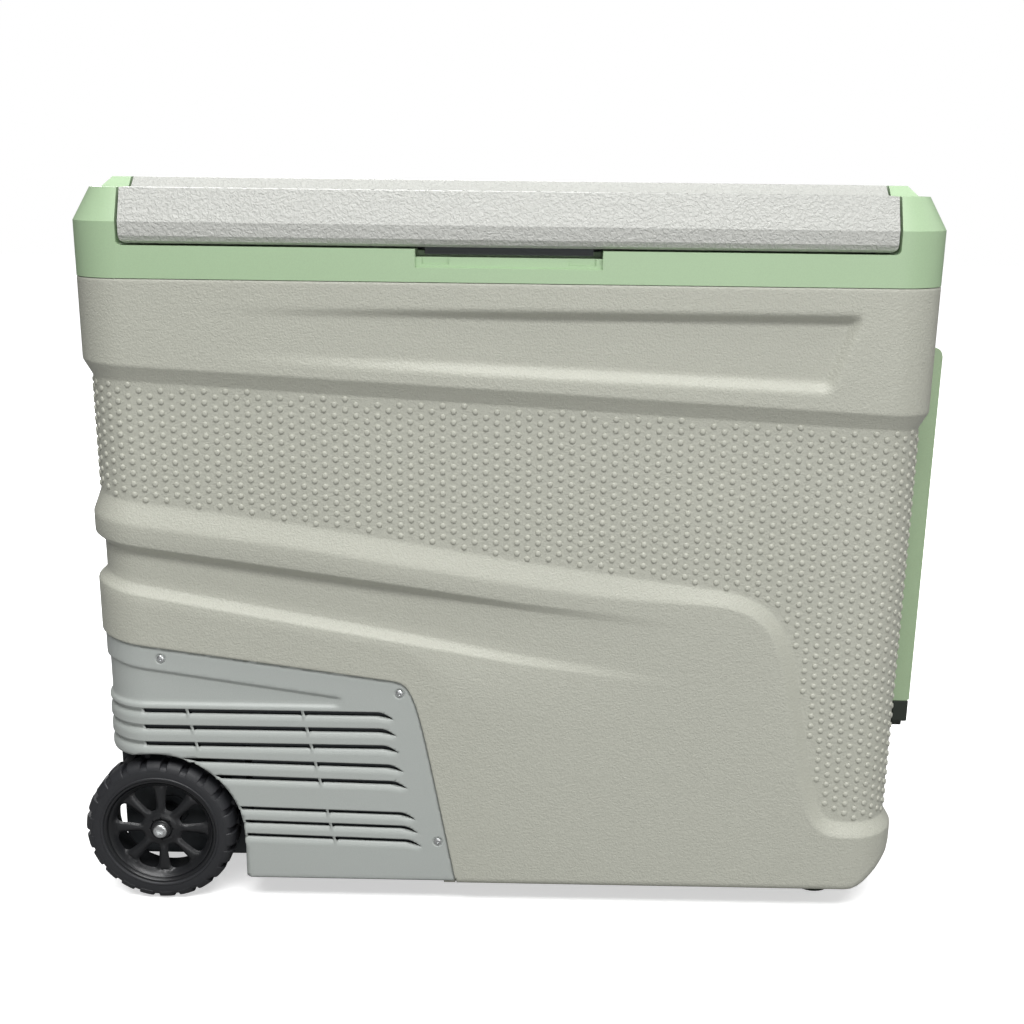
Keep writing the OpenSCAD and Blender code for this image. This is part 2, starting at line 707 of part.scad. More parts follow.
key_x = [-52, -8, 24, 56];
module control_bezel() {
    y = half_d;
    color([0.1, 0.1, 0.11]) difference() {
        union() {
            box([-74, y, 472], [94, y + 2.2, 530]);
            box([-69.5, y - 28, 476.5], [89.5, y, 525.5]);
        }
        box([-66, y - 26, 480], [86, y - 2, 522]);
        box([-40, y - 3, 500], [62, y + 3, 522]);
        for (x = key_x) box([x, y - 3, 480], [x + 14, y + 3, 490]);
    }
}
module display_window() {
    y = half_d;
    color([0.05, 0.06, 0.07]) {
        box([-39.8, y - 2, 500.2], [61.8, y + 1.6, 521.8]);
        box([-44, y - 4, 494], [66, y - 2.05, 522 - 0.1]);
    }
}
module key(i) {
    y = half_d;
    x = key_x[i];
    color([0.2, 0.21, 0.22]) {
        box([x + 0.3, y - 3, 480.3], [x + 13.7, y + 3.2, 489.7]);
        box([x - 1.5, y - 4.6, 480.2], [x + 15.5, y - 3, 491.5]);
    }
}
module power_button() { key(0); }
module mode_button() { key(1); }
module up_button() { key(2); }
module down_button() { key(3); }
module power_inlet() {
    y = half_d;
    color([0.1, 0.1, 0.11]) difference() {
        union() {
            box([inlet_x - 21, y, 146], [inlet_x + 21, y + 2.2, 188]);
            box([inlet_x - 16.5, y - 26, 150.5], [inlet_x + 16.5, y, 183.5]);
        }
        box([inlet_x - 13, y - 22, 158], [inlet_x + 13, y + 3, 178]);
    }
}
module inlet_socket() {
    y = half_d;
    color([0.75, 0.62, 0.3]) for (i = [-1:1])
        box([inlet_x + 7 * i - 1, y - 22, 165], [inlet_x + 7 * i + 1, y - 8, 171]);
}
module interior_light() {
    z = collar_z - 1.6;
    color([0.95, 0.96, 0.98]) box([-33.8, -11.8, z - 15.2], [33.8, 11.8, z - 11.4]);
}
// wire basket: floor grid, wall wires and rim
module basket(x0, x1, y0, y1, z0, z1, nx, ny) {
    r = 1.5;
    up = z0 + 2.4;
    color([0.85, 0.86, 0.87]) {
        for (i = [0:nx]) {
            x = x0 + (x1 - x0) * i / nx;
            rod_y(r + 0.2, x, y0 - 2, y1 + 2, z0);
            for (y = [y0, y1]) translate([x, y, z0]) cylinder(h = z1 - z0, r = r);
        }
        for (i = [1:ny - 1]) {
            y = y0 + (y1 - y0) * i / ny;
            rod_x(r + 0.2, x0 - 2, x1 + 2, y, up);
            for (x = [x0, x1]) translate([x, y, up]) cylinder(h = z1 - up, r = r);
        }
        for (z = [(z0 + z1) / 2, z1]) {
            for (y = [y0, y1]) rod_x(r + 0.7, x0 - 3, x1 + 3, y, z);
            for (x = [x0, x1]) rod_y(r + 0.7, x, y0 - 3, y1 + 3, z - 1);
        }
    }
}
module basket_large() { basket(10, 284, -138, 138, 68, 530, 7, 6); }
module basket_small() { basket(-284, -10, -138, 138, bay_z + 48, 530, 7, 6); }
module drain_plug() {
    color([0.2, 0.2, 0.2]) union() {
        translate([250, 0, 10]) cylinder(h = 11.9, r = 14);
        translate([250, 0, 21]) cylinder(h = 43, r = 7.9);
    }
}

body_shell();
base_chassis();
foam_insulation();
inner_liner();
bay_bulkhead();
collar_frame();
lid_outer();
lid_inner();
lid_foam();
lid_gasket();
lid_hinge_pins();
lid_latch();
vent_cover_front();
vent_cover_rear();
cover_screws();
axle();
axle_screws();
wheel_hub_front();
wheel_hub_rear();
tyre_front();
tyre_rear();
rubber_feet();
tow_handle();
handle_grip();
handle_pins();
handle_brackets();
compressor();
compressor_grommets();
condenser_coil();
condenser_fins();
fan_frame();
fan_rotor();
fan_motor();
refrigerant_pipes();
filter_drier();
evaporator_tube();
control_board();
control_bezel();
display_window();
power_button();
mode_button();
up_button();
down_button();
power_inlet();
inlet_socket();
interior_light();
basket_large();
basket_small();
drain_plug();
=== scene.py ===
import math
import bmesh
import bpy
import numpy as np
from mathutils import Matrix, Vector, geometry


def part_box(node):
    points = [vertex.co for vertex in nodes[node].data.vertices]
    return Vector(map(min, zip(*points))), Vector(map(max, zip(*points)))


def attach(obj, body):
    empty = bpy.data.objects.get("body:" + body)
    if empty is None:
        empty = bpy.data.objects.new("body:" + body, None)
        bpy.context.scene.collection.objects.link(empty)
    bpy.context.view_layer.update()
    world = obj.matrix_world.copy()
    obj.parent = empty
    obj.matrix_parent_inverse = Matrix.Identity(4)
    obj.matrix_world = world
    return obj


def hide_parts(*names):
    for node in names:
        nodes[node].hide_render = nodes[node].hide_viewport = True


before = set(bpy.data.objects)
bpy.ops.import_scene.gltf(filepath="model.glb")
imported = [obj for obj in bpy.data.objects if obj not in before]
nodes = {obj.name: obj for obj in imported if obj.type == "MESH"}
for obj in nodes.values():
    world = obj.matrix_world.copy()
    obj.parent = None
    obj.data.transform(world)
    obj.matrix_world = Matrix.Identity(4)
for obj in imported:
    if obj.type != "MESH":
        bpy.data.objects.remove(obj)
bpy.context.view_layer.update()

mm = 0.001


def toLinear(hexColour):
    parts = [int(hexColour[i:i + 2], 16) / 255 for i in (1, 3, 5)]
    return tuple(c / 12.92 if c <= 0.04045 else ((c + 0.055) / 1.055) ** 2.4 for c in parts) + (1.0,)


def addNode(tree, kind, settings=None, inputs=None):
    node = tree.nodes.new(kind)
    for key, value in (settings or {}).items():
        setattr(node, key, value)
    for key, value in (inputs or {}).items():
        if isinstance(value, bpy.types.NodeSocket):
            tree.links.new(value, node.inputs[key])
        else:
            node.inputs[key].default_value = value
    return node


def smoothStep(low, high, value):
    t = np.clip((np.asarray(value, float) - low) / (high - low), 0, 1)
    return t * t * (3 - 2 * t)


def nodeBox(name):
    low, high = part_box(name)
    return np.array(low) / mm, np.array(high) / mm


def makeMesh(name, points, faces, material, smooth=True):
    mesh = bpy.data.meshes.new(name)
    mesh.from_pydata([tuple(p) for p in np.asarray(points, float) * mm], [], [tuple(f) for f in faces])
    mesh.materials.append(material)
    mesh.polygons.foreach_set("use_smooth", [smooth] * len(mesh.polygons))
    mesh.update()
    piece = bpy.data.objects.new(name, mesh)
    bpy.context.scene.collection.objects.link(piece)
    return piece


def settle(piece, body, slotName, *replaced):
    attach(piece, body)
    if replaced:
        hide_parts(*replaced)
    return piece


def addModifier(piece, kind, **settings):
    modifier = piece.modifiers.new(kind.title(), kind)
    for key, value in settings.items():
        setattr(modifier, key, value)
    return modifier


def bakeModifiers(piece):
    graph = bpy.context.evaluated_depsgraph_get()
    graph.update()
    baked = bpy.data.meshes.new_from_object(piece.evaluated_get(graph))
    piece.modifiers.clear()
    piece.data = baked
    baked.name = piece.name
    return piece


# injection-moulded ABS: spark-eroded grain breaks the gloss into a fine pebble, skin colour is even
def mouldedPlastic(name, colour, grain=2.3, depth=0.16, rough=0.5, tint=0.035, specular=0.5, fine=0.6):
    material = bpy.data.materials.new(name)
    material.use_nodes = True
    tree = material.node_tree
    shader = tree.nodes["Principled BSDF"]
    place = addNode(tree, "ShaderNodeTexCoord").outputs["Object"]
    pebble = addNode(tree, "ShaderNodeTexNoise", None,
                     {"Vector": place, "Scale": 1 / (grain * mm), "Detail": 2.0, "Roughness": 0.5,
                      "Distortion": 0.6})
    dust = addNode(tree, "ShaderNodeTexNoise", None,
                   {"Vector": place, "Scale": 1 / (fine * mm), "Detail": 2.0, "Roughness": 0.6})
    flow = addNode(tree, "ShaderNodeTexNoise", None, {"Vector": place, "Scale": 6.0, "Detail": 3.0})
    crest = addNode(tree, "ShaderNodeMapRange", None,
                    {"Value": pebble.outputs["Fac"], "From Min": 0.35, "From Max": 0.65})
    height = addNode(tree, "ShaderNodeMath", {"operation": "MULTIPLY_ADD"},
                     {0: dust.outputs["Fac"], 1: 0.25, 2: crest.outputs["Result"]})
    bump = addNode(tree, "ShaderNodeBump", None,
                   {"Height": height.outputs[0], "Distance": depth * mm, "Strength": 1.0})
    base = toLinear(colour)
    dark = tuple(c * (1 - tint) for c in base[:3]) + (1,)
    light = tuple(min(1, c * (1 + tint)) for c in base[:3]) + (1,)
    shade = addNode(tree, "ShaderNodeMix", {"data_type": "RGBA"}, {0: flow.outputs["Fac"], 6: dark, 7: light})
    # painted shade and highlight on the grain: the colour is darkened to 0.95 in the grain's valleys and
    # lifted to 1.01 on its crests
    valleyShadeLevel = addNode(tree, "ShaderNodeMapRange", None,
                     {"Value": crest.outputs["Result"], "To Min": 0.95, "To Max": 1.01})
    paintedGrainShade = addNode(tree, "ShaderNodeMix", {"data_type": "RGBA", "blend_type": "MULTIPLY"},
                    {0: 1.0, 6: shade.outputs[2], 7: valleyShadeLevel.outputs["Result"]})
    gloss = addNode(tree, "ShaderNodeMapRange", None,
                    {"Value": pebble.outputs["Fac"], "To Min": rough - 0.06, "To Max": rough + 0.08})
    tree.links.new(paintedGrainShade.outputs[2], shader.inputs["Base Color"])
    tree.links.new(gloss.outputs["Result"], shader.inputs["Roughness"])
    tree.links.new(bump.outputs["Normal"], shader.inputs["Normal"])
    shader.inputs["IOR"].default_value = 1.5
    shader.inputs["Specular IOR Level"].default_value = specular
    return material


# drawn, rolled or plated metal: fine lines of the process stretch the highlight
def workedMetal(name, colour, rough=0.3, lines=(1.0, 1.0, 1.0), lineSize=0.5, depth=0.02):
    material = bpy.data.materials.new(name)
    material.use_nodes = True
    tree = material.node_tree
    shader = tree.nodes["Principled BSDF"]
    place = addNode(tree, "ShaderNodeTexCoord").outputs["Object"]
    drawn = addNode(tree, "ShaderNodeMapping", None, {"Vector": place, "Scale": lines})
    scratch = addNode(tree, "ShaderNodeTexNoise", None,
                      {"Vector": drawn.outputs["Vector"], "Scale": 1 / (lineSize * mm), "Detail": 3.0})
    stain = addNode(tree, "ShaderNodeTexNoise", None, {"Vector": place, "Scale": 35.0, "Detail": 4.0})
    bump = addNode(tree, "ShaderNodeBump", None,
                   {"Height": scratch.outputs["Fac"], "Distance": depth * mm, "Strength": 1.0})
    base = toLinear(colour)
    dull = tuple(c * 0.82 for c in base[:3]) + (1,)
    shade = addNode(tree, "ShaderNodeMix", {"data_type": "RGBA"}, {0: stain.outputs["Fac"], 6: dull, 7: base})
    gloss = addNode(tree, "ShaderNodeMapRange", None,
                    {"Value": stain.outputs["Fac"], "To Min": rough - 0.08, "To Max": rough + 0.12})
    tree.links.new(shade.outputs[2], shader.inputs["Base Color"])
    tree.links.new(gloss.outputs["Result"], shader.inputs["Roughness"])
    tree.links.new(bump.outputs["Normal"], shader.inputs["Normal"])
    shader.inputs["Metallic"].default_value = 1.0
    return material


# body and lid are textured ABS, the collar and handle the same resin in pale green with a finer grain
bodyPlastic = mouldedPlastic("grainedAbsWarmGrey", "#B7B8AC", grain=1.7, depth=0.2, rough=0.42)
dotPlastic = mouldedPlastic("smoothAbsWarmGrey", "#B7B8AC", grain=1.7, depth=0.02, rough=0.36)
lidPlastic = mouldedPlastic("grainedAbsPaleGrey", "#BBBCB7", grain=2.5, depth=0.45, rough=0.45)
greenPlastic = mouldedPlastic("satinAbsPaleGreen", "#AAC49F", grain=0.9, depth=0.02, rough=0.42)
handlePlastic = mouldedPlastic("satinAbsSageGreen", "#9DB390", grain=0.9, depth=0.03, rough=0.5)
ventPlastic = mouldedPlastic("fineAbsCoolGrey", "#AFB4B0", grain=0.8, depth=0.03, rough=0.38)
chassisPlastic = mouldedPlastic("blackPolypropylene", "#33373A", grain=1.1, depth=0.05, rough=0.55, tint=0.12)
wheelPlastic = mouldedPlastic("blackNylonWheel", "#1E1F21", grain=0.9, depth=0.03, rough=0.33, tint=0.1)
tyreRubber = mouldedPlastic("mouldedTyreRubber", "#27282B", grain=0.8, depth=0.06, rough=0.5, tint=0.18)
gripRubber = mouldedPlastic("softTouchElastomer", "#20271F", grain=0.7, depth=0.05, rough=0.62, tint=0.1)
sealRubber = mouldedPlastic("extrudedSealRubber", "#54585A", grain=0.8, depth=0.03, rough=0.6, tint=0.06)
whitePlastic = mouldedPlastic("foodGradePolypropylene", "#E9ECEB", grain=1.4, depth=0.03, rough=0.38,
                              tint=0.015)
foamFill = mouldedPlastic("blownPolyurethaneFoam", "#E6D9AE", grain=3.0, depth=0.5, rough=0.9, tint=0.08)
keyPlastic = mouldedPlastic("printedKeySilicone", "#4A4F52", grain=0.6, depth=0.02, rough=0.55)
boardLaminate = mouldedPlastic("solderMaskedLaminate", "#1F6B3D", grain=1.2, depth=0.04, rough=0.35,
                               tint=0.15)
enamelSteel = mouldedPlastic("stovedBlackEnamel", "#17181A", grain=4.0, depth=0.03, rough=0.22, tint=0.1)
wireCoating = mouldedPlastic("dippedVinylWire", "#DADCDA", grain=1.5, depth=0.04, rough=0.35, tint=0.03)
lightLens = mouldedPlastic("opalPolycarbonate", "#F4F6F2", grain=1.5, depth=0.01, rough=0.3, tint=0.01)
plugBrass = workedMetal("machinedBrassPin", "#C9A454", 0.25, (1, 1, 12))
zincScrew = workedMetal("zincPlatedSteel", "#E2E4E4", 0.34, (1, 1, 1), 0.6, 0.03)
bareSteel = workedMetal("drawnMildSteel", "#A9ABAD", 0.34, (1, 14, 1), 0.8)
zincSheet = workedMetal("galvanisedSheet", "#B4B8BA", 0.42, (1, 1, 1), 5.0, 0.04)
copperTube = workedMetal("drawnCopperTube", "#C27A52", 0.3, (4, 1, 4), 0.9)
finFoil = workedMetal("rolledAluminiumFin", "#C6C9CC", 0.33, (1, 10, 1), 0.7)


# smoked acrylic: nearly black and glossy with a trace of handling marks
def smokedWindow():
    material = bpy.data.materials.new("smokedAcrylicWindow")
    material.use_nodes = True
    tree = material.node_tree
    shader = tree.nodes["Principled BSDF"]
    place = addNode(tree, "ShaderNodeTexCoord").outputs["Object"]
    smear = addNode(tree, "ShaderNodeTexNoise", None, {"Vector": place, "Scale": 60.0, "Detail": 5.0})
    gloss = addNode(tree, "ShaderNodeMapRange", None,
                    {"Value": smear.outputs["Fac"], "To Min": 0.04, "To Max": 0.14})
    shade = addNode(tree, "ShaderNodeMix", {"data_type": "RGBA"},
                    {0: smear.outputs["Fac"], 6: toLinear("#0C0E10"), 7: toLinear("#15181B")})
    tree.links.new(shade.outputs[2], shader.inputs["Base Color"])
    tree.links.new(gloss.outputs["Result"], shader.inputs["Roughness"])
    shader.inputs["IOR"].default_value = 1.49
    return material


smokedGlass = smokedWindow()
print("materials ready")


bodyLow, bodyHigh = nodeBox("body_shell")
halfLength = bodyHigh[0]
halfDepth = bodyHigh[1]
seamHeight = bodyHigh[2]
floorHeight = bodyLow[2]

shellShape = dict(
    corner=45.0,          # radius of the upright corners
    inset=7.0,            # depth of the dotted panel
    bandEdge=(461.0, -0.051),   # height of the band's lower edge at the middle, and its slope
    bandChamfer=13.0,
    recessDepth=6.0,      # shallow dish in the front band
    ridge=[(-347, 369), (-167, 346), (13, 317.5), (150, 299), (184, 295), (206, 288.5), (224, 277),
           (238, 257), (246, 232), (251, 203), (267, 117), (277, 90), (290, 86), (347, 86)],
    ridgeWidth=(18.0, 11.5),    # chamfer of the ridge along the side, and down the handle end
    grooveTop=[(-347, 334), (14, 284), (147, 269), (347, 250)],
    grooveLow=[(-347, 293), (15, 229.5), (162, 210), (347, 190)],
    grooveDepth=7.5,
    coverEdge=[(-347, 247), (-75, 210.6), (-39, 24), (-38.9, 24), (347, 24)],
    seatDepth=5.2,        # the vent covers lie in a seat this far inside the band plane
    seatWidth=11.0,
    edgeRadius=7.0,       # lower edge along the sides
    heelRadius=36.0,      # lower edge at the handle end
    wall=2.6,
    flangeLap=3.5,        # the flanges of the panel and the inlet cover the edge of their openings
    flangeRing=2.0,
)
lineX = np.arange(-347.0, 347.01, 0.5)


def blurred(points, radius):
    knots = np.array(points, float)
    line = np.interp(lineX, knots[:, 0], knots[:, 1])
    reach = int(radius * 6)
    weight = np.exp(-0.5 * (np.arange(-reach, reach + 1) * 0.5 / radius) ** 2)
    padded = np.concatenate([line[0] + (line[1] - line[0]) * np.arange(-reach, 0), line,
                             line[-1] + (line[-1] - line[-2]) * np.arange(1, reach + 1)])
    return np.convolve(padded, weight / weight.sum(), "valid")


# the curve a given distance below (or, when negative, above) another, measured square to it
def offsetLine(line, distance):
    reach = np.broadcast_to(np.asarray(distance, float), line.shape)
    result = np.empty_like(line)
    for i, d in enumerate(reach):
        n = int(abs(d) / 0.5) + 1
        a, b = max(0, i - n), min(len(line), i + n + 1)
        gap = np.sqrt(np.maximum(d * d - (lineX[a:b] - lineX[i]) ** 2, 0))
        inside = np.abs(lineX[a:b] - lineX[i]) <= abs(d) + 1e-6
        near = line[a:b][inside]
        result[i] = (near - gap[inside]).min() if d > 0 else (near + gap[inside]).max()
    return result


def bandLine(x):
    return shellShape["bandEdge"][0] + shellShape["bandEdge"][1] * x


ridgeLine = blurred(shellShape["ridge"], 6.0)
coverLine = blurred(shellShape["coverEdge"], 7.5)
sharpCover = np.interp(lineX, *np.array(shellShape["coverEdge"], float).T)
coverLine = np.where(lineX > -54, sharpCover, coverLine)


# round trip along the body: x, y, outward normal and corner share for each column
def outlineColumns(stepSide, stepEnd, cornerSteps, fineRanges):
    r = shellShape["corner"]
    sideX = [-halfLength + r]
    while sideX[-1] < halfLength - r - 0.01:
        x = sideX[-1]
        step = min([stepSide] + [s for a, b, s in fineRanges if a <= x < b])
        ahead = [a - x for a, b, s in fineRanges if x < a < x + step]
        sideX.append(min(x + min([step] + ahead), halfLength - r))
    sideX = np.array(sideX)
    endY = np.linspace(-halfDepth + r, halfDepth - r, int((2 * halfDepth - 2 * r) / stepEnd) + 1)
    turn = np.linspace(0, np.pi / 2, cornerSteps + 1)[1:-1]

    # upright corner: the side of its centre in X and Y, and the outward direction along the turn
    def corner(signX, signY, directions):
        return [(signX * (halfLength - r) + r * u, signY * (halfDepth - r) + r * v, u, v)
                for u, v in directions]

    sin, cos = np.sin(turn), np.cos(turn)
    rows = [(x, -halfDepth, 0, -1) for x in sideX]
    rows += corner(1, -1, zip(sin, -cos))
    rows += [(halfLength, y, 1, 0) for y in endY]
    rows += corner(1, 1, zip(cos, sin))
    rows += [(x, halfDepth, 0, 1) for x in sideX[::-1]]
    rows += corner(-1, 1, zip(-sin, cos))
    rows += [(-halfLength, y, -1, 0) for y in endY[::-1]]
    rows += corner(-1, -1, zip(-cos, -sin))
    return np.array(rows)


# dish in the front band: short wall on top, long ramp below, slanted end towards the handle
def dishDepth(x, z):
    deep = shellShape["recessDepth"] * smoothStep(-250, 40, x)
    top = 1 - smoothStep(516.5, 524.5, z)
    low = 483 - 0.0396 * (x + 170)
    ramp = smoothStep(low - 5.5, low + 5.5, z)
    end = 259 + (z - 466) * 0.351
    return deep * top * ramp * (1 - smoothStep(end - 10, end + 2, x))


# cuts the opening behind a fitting on the rear wall. A first ring of cuts round the opening, also
# under the flange, keeps the wall beyond it smooth
def cutWindow(work, low, high, lap, ring):
    near = 0.01

    def facesInside(inset):
        left, right = low[0] + inset + near, high[0] - inset - near
        bottom, top = low[2] + inset + near, high[2] - inset - near
        found = []
        for face in work.faces:
            if face.verts[0].co.y < (high[1] - 20) * mm:
                continue
            xs = [vertex.co.x / mm for vertex in face.verts]
            zs = [vertex.co.z / mm for vertex in face.verts]
            if max(xs) > left and min(xs) < right and max(zs) > bottom and min(zs) < top:
                found.append(face)
        return found

    for inset in (lap - ring, lap):
        for axis in (0, 2):
            for place in (low[axis] + inset, high[axis] - inset):
                spot, normal = np.zeros(3), np.zeros(3)
                spot[axis], normal[axis] = place * mm, 1.0
                parts = {part for face in facesInside(inset) for part in (*face.verts, *face.edges, face)}
                bmesh.ops.bisect_plane(work, geom=list(parts), dist=1e-6, plane_co=spot, plane_no=normal)
    bmesh.ops.delete(work, geom=facesInside(lap), context="FACES")


def buildBodyShell():
    s = shellShape
    cols = outlineColumns(5.0, 9.5, 11, [(230, 284, 1.25), (-96, -36, 1.25)])
    x = np.clip(cols[:, 0], lineX[0], lineX[-1])
    front = cols[:, 1] < -halfDepth + s["corner"] - 0.1

    def onLine(line):
        return np.interp(x, lineX, line)

    band = bandLine(x)
    width = s["ridgeWidth"][0] + (s["ridgeWidth"][1] - s["ridgeWidth"][0]) * smoothStep(60, 200, lineX)
    heights, depths, kinds = [], [], []

    def row(z, depth, kind="fixed"):
        heights.append(np.broadcast_to(z, x.shape).astype(float))
        depths.append(np.broadcast_to(depth, x.shape).astype(float))
        kinds.append(kind)

    for drop, depth in [(0.15, 1.3), (0.5, 0.6), (1.3, 0.15), (2.5, 0.0)]:
        row(seamHeight - drop, depth)
    for t in np.linspace(0.02, 0.985, 36):
        z = (seamHeight - 2.5) * (1 - t) + (band + 1.6) * t
        row(z, np.where(front, dishDepth(x, z), 0))
    for drop, depth in [(-1.2, 0.0), (0.0, 0.15), (1.0, 0.6), (12.2, 6.55), (13.2, 6.88), (14.6, 7.0)]:
        row(band - drop, depth)
    upper = onLine(offsetLine(ridgeLine, -2.5))
    for t in np.linspace(0.14, 0.86, 6):
        row((band - 14.6) * (1 - t) + upper * t, s["inset"])
    row(upper, s["inset"])
    for share, depth in [(-0.05, 6.95), (0.03, 6.6), (0.25, 5.1), (0.5, 3.35), (0.75, 1.6), (0.93, 0.35),
                         (1.02, 0.05), (1.12, 0.0)]:
        row(onLine(offsetLine(ridgeLine, share * width)), depth, "flow")
    grooveTop = onLine(blurred(s["grooveTop"], 5))
    grooveLow = onLine(blurred(s["grooveLow"], 5))
    deep = s["grooveDepth"] * (1 - smoothStep(-120, 165, x))
    for drop, share in [(-1.5, 0), (0, 0.05), (1.4, 0.25), (5.4, 0.8), (6.8, 0.96), (8, 1)]:
        row(grooveTop - drop, deep * share, "flow")
    for t in (0.25, 0.5, 0.75):
        row((grooveTop - 8) * (1 - t) + (grooveLow + 9) * t, deep, "flow")
    for lift, share in [(9, 1), (7.8, 0.95), (6, 0.78), (2.2, 0.24), (0.8, 0.06), (-0.8, 0)]:
        row(grooveLow + lift, deep * share, "flow")
    isOpen = x < -39.0
    edge = {d: onLine(offsetLine(coverLine, d)) for d in (-1.8, -0.9, -0.3, 0.01, 3.0, s["seatWidth"])}
    corner = smoothStep(halfLength - s["corner"], halfLength, x)
    radius = s["edgeRadius"] + (s["heelRadius"] - s["edgeRadius"]) * corner
    below = floorHeight + radius + 1.0
    last = np.where(isOpen, edge[-1.8] + 1.5, below)
    for t in (0.25, 0.5, 0.75, 1.0):
        row((grooveLow - 0.8) * (1 - t) + last * t, 0.0, "flow")
    seat = [(-1.8, 0.0), (-0.9, 0.12), (-0.3, 0.5), (0.01, 1.1), (0.01, 3.2), (0.01, s["seatDepth"]),
            (3.0, s["seatDepth"]), (s["seatWidth"], s["seatDepth"])]
    for k, (reach, depth) in enumerate(seat):
        angle = k / (len(seat) - 1) * np.pi / 2
        roundZ = floorHeight + radius * (1 - np.sin(angle))
        roundDepth = radius * (1 - np.cos(angle))
        row(np.where(isOpen, edge[reach], roundZ), np.where(isOpen, depth, roundDepth), "last")
    heights = np.array(heights)
    depths = np.array(depths)
    ceiling = heights[0].copy()
    floorRows = heights[kinds.index("last")]
    flows = [i for i, kind in enumerate(kinds) if kind == "flow"]
    count, total = heights.shape
    for i in range(count):
        heights[i] = np.maximum(heights[i], floorHeight + 0.02 * (count - 1 - i))
    for i in flows:
        heights[i] = np.minimum(heights[i], heights[i - 1] - 0.35)
    for n, i in enumerate(reversed(flows)):
        heights[i] = np.maximum(heights[i], floorRows + 0.4 * (n + 1))
    points = np.zeros((count, total, 3))
    points[:, :, 0] = cols[:, 0] - cols[:, 2] * depths
    points[:, :, 1] = cols[:, 1] - cols[:, 3] * depths
    points[:, :, 2] = heights
    faces = []
    for i in range(count - 1):
        for j in range(total):
            k = (j + 1) % total
            if isOpen[j] != isOpen[k] and kinds[i] == "last" and kinds[i + 1] == "last":
                continue
            faces.append((i * total + j, (i + 1) * total + j, (i + 1) * total + k, i * total + k))
    flat = points.reshape(-1, 3)
    closed = [j for j in range(total) if not isOpen[j]]
    rim = [(count - 1) * total + j for j in closed]
    extra = len(flat)
    tail = np.array([(-49.8, halfDepth - 16, floorHeight), (-49.8, -halfDepth + 16, floorHeight)])
    flat = np.concatenate([flat, tail])
    faces.append(tuple(reversed(rim + [extra, extra + 1])))
    piece = makeMesh("bodyShell", flat, faces, bodyPlastic)
    work = bmesh.new()
    work.from_mesh(piece.data)
    bmesh.ops.remove_doubles(work, verts=work.verts, dist=2e-6)
    for fitting in ("control_bezel", "power_inlet"):
        cutWindow(work, *nodeBox(fitting), s["flangeLap"], s["flangeRing"])
    loose = [v for v in work.verts if not v.link_faces]
    bmesh.ops.delete(work, geom=loose, context="VERTS")
    work.to_mesh(piece.data)
    work.free()
    addModifier(piece, "SOLIDIFY", thickness=s["wall"] * mm, offset=-1.0)
    return settle(piece, "root", "body_plastic", "body_shell")


# a group that sets one small shape on each point, turned to the point's normal
def scatterTree(name, shape, material, turnAxis="Z"):
    tree = bpy.data.node_groups.new(name, "GeometryNodeTree")
    tree.interface.new_socket("Geometry", in_out="INPUT", socket_type="NodeSocketGeometry")
    size = tree.interface.new_socket("Size", in_out="INPUT", socket_type="NodeSocketFloat")
    tree.interface.new_socket("Geometry", in_out="OUTPUT", socket_type="NodeSocketGeometry")
    start = addNode(tree, "NodeGroupInput")
    item = addNode(tree, "GeometryNodeObjectInfo", None, {"Object": shape})
    facing = addNode(tree, "GeometryNodeInputNamedAttribute", {"data_type": "FLOAT_VECTOR"},
                     {"Name": "facing"})
    turn = addNode(tree, "FunctionNodeAlignRotationToVector", {"axis": turnAxis},
                   {"Vector": facing.outputs["Attribute"]})
    points = addNode(tree, "GeometryNodeMeshToPoints", None, {"Mesh": start.outputs["Geometry"]})
    spread = addNode(tree, "GeometryNodeInstanceOnPoints", None,
                     {"Points": points.outputs["Points"], "Instance": item.outputs["Geometry"],
                      "Rotation": turn.outputs["Rotation"], "Scale": start.outputs["Size"]})
    real = addNode(tree, "GeometryNodeRealizeInstances", None, {"Geometry": spread.outputs["Instances"]})
    paint = addNode(tree, "GeometryNodeSetMaterial", None,
                    {"Geometry": real.outputs["Geometry"], "Material": material})
    addNode(tree, "NodeGroupOutput", None, {"Geometry": paint.outputs["Geometry"]})
    return tree, size.identifier


def scatter(name, places, normals, shape, material, size=1.0):
    piece = makeMesh(name, places, [], material)
    facing = piece.data.attributes.new("facing", "FLOAT_VECTOR", "POINT")
    facing.data.foreach_set("vector", np.asarray(normals, float).ravel())
    tree, sizeId = scatterTree(name + "Tree", shape, material)
    modifier = piece.modifiers.new("Scatter", "NODES")
    modifier.node_group = tree
    modifier[sizeId] = size
    bakeModifiers(piece)
    for attribute in [a.name for a in piece.data.attributes if a.name == "facing"]:
        piece.data.attributes.remove(piece.data.attributes[attribute])
    piece.data.polygons.foreach_set("use_smooth", [True] * len(piece.data.polygons))
    return piece


# closed dome with its base sunk a little below the surface
def domeShape(name, radius, height, sides, profile):
    points = []
    for share, lift in profile:
        for k in range(sides):
            a = 2 * math.pi * k / sides
            points.append((radius * share * math.cos(a), radius * share * math.sin(a), height * lift))
    top = len(points)
    points.append((0, 0, height))
    base = len(points)
    points.append((0, 0, points[0][2]))
    faces = []
    for ring in range(len(profile) - 1):
        for k in range(sides):
            n = (k + 1) % sides
            faces.append((ring * sides + k, ring * sides + n, (ring + 1) * sides + n, (ring + 1) * sides + k))
    lastRing = (len(profile) - 1) * sides
    for k in range(sides):
        n = (k + 1) % sides
        faces.append((lastRing + k, lastRing + n, top))
        faces.append((n, k, base))
    shape = makeMesh(name, points, faces, bodyPlastic)
    shape.hide_render = True
    return shape


dotShape = dict(pitchX=8.67, pitchZ=9.03, radius=2.6, height=1.15, ridgeGap=3.4, bandGap=2.2)


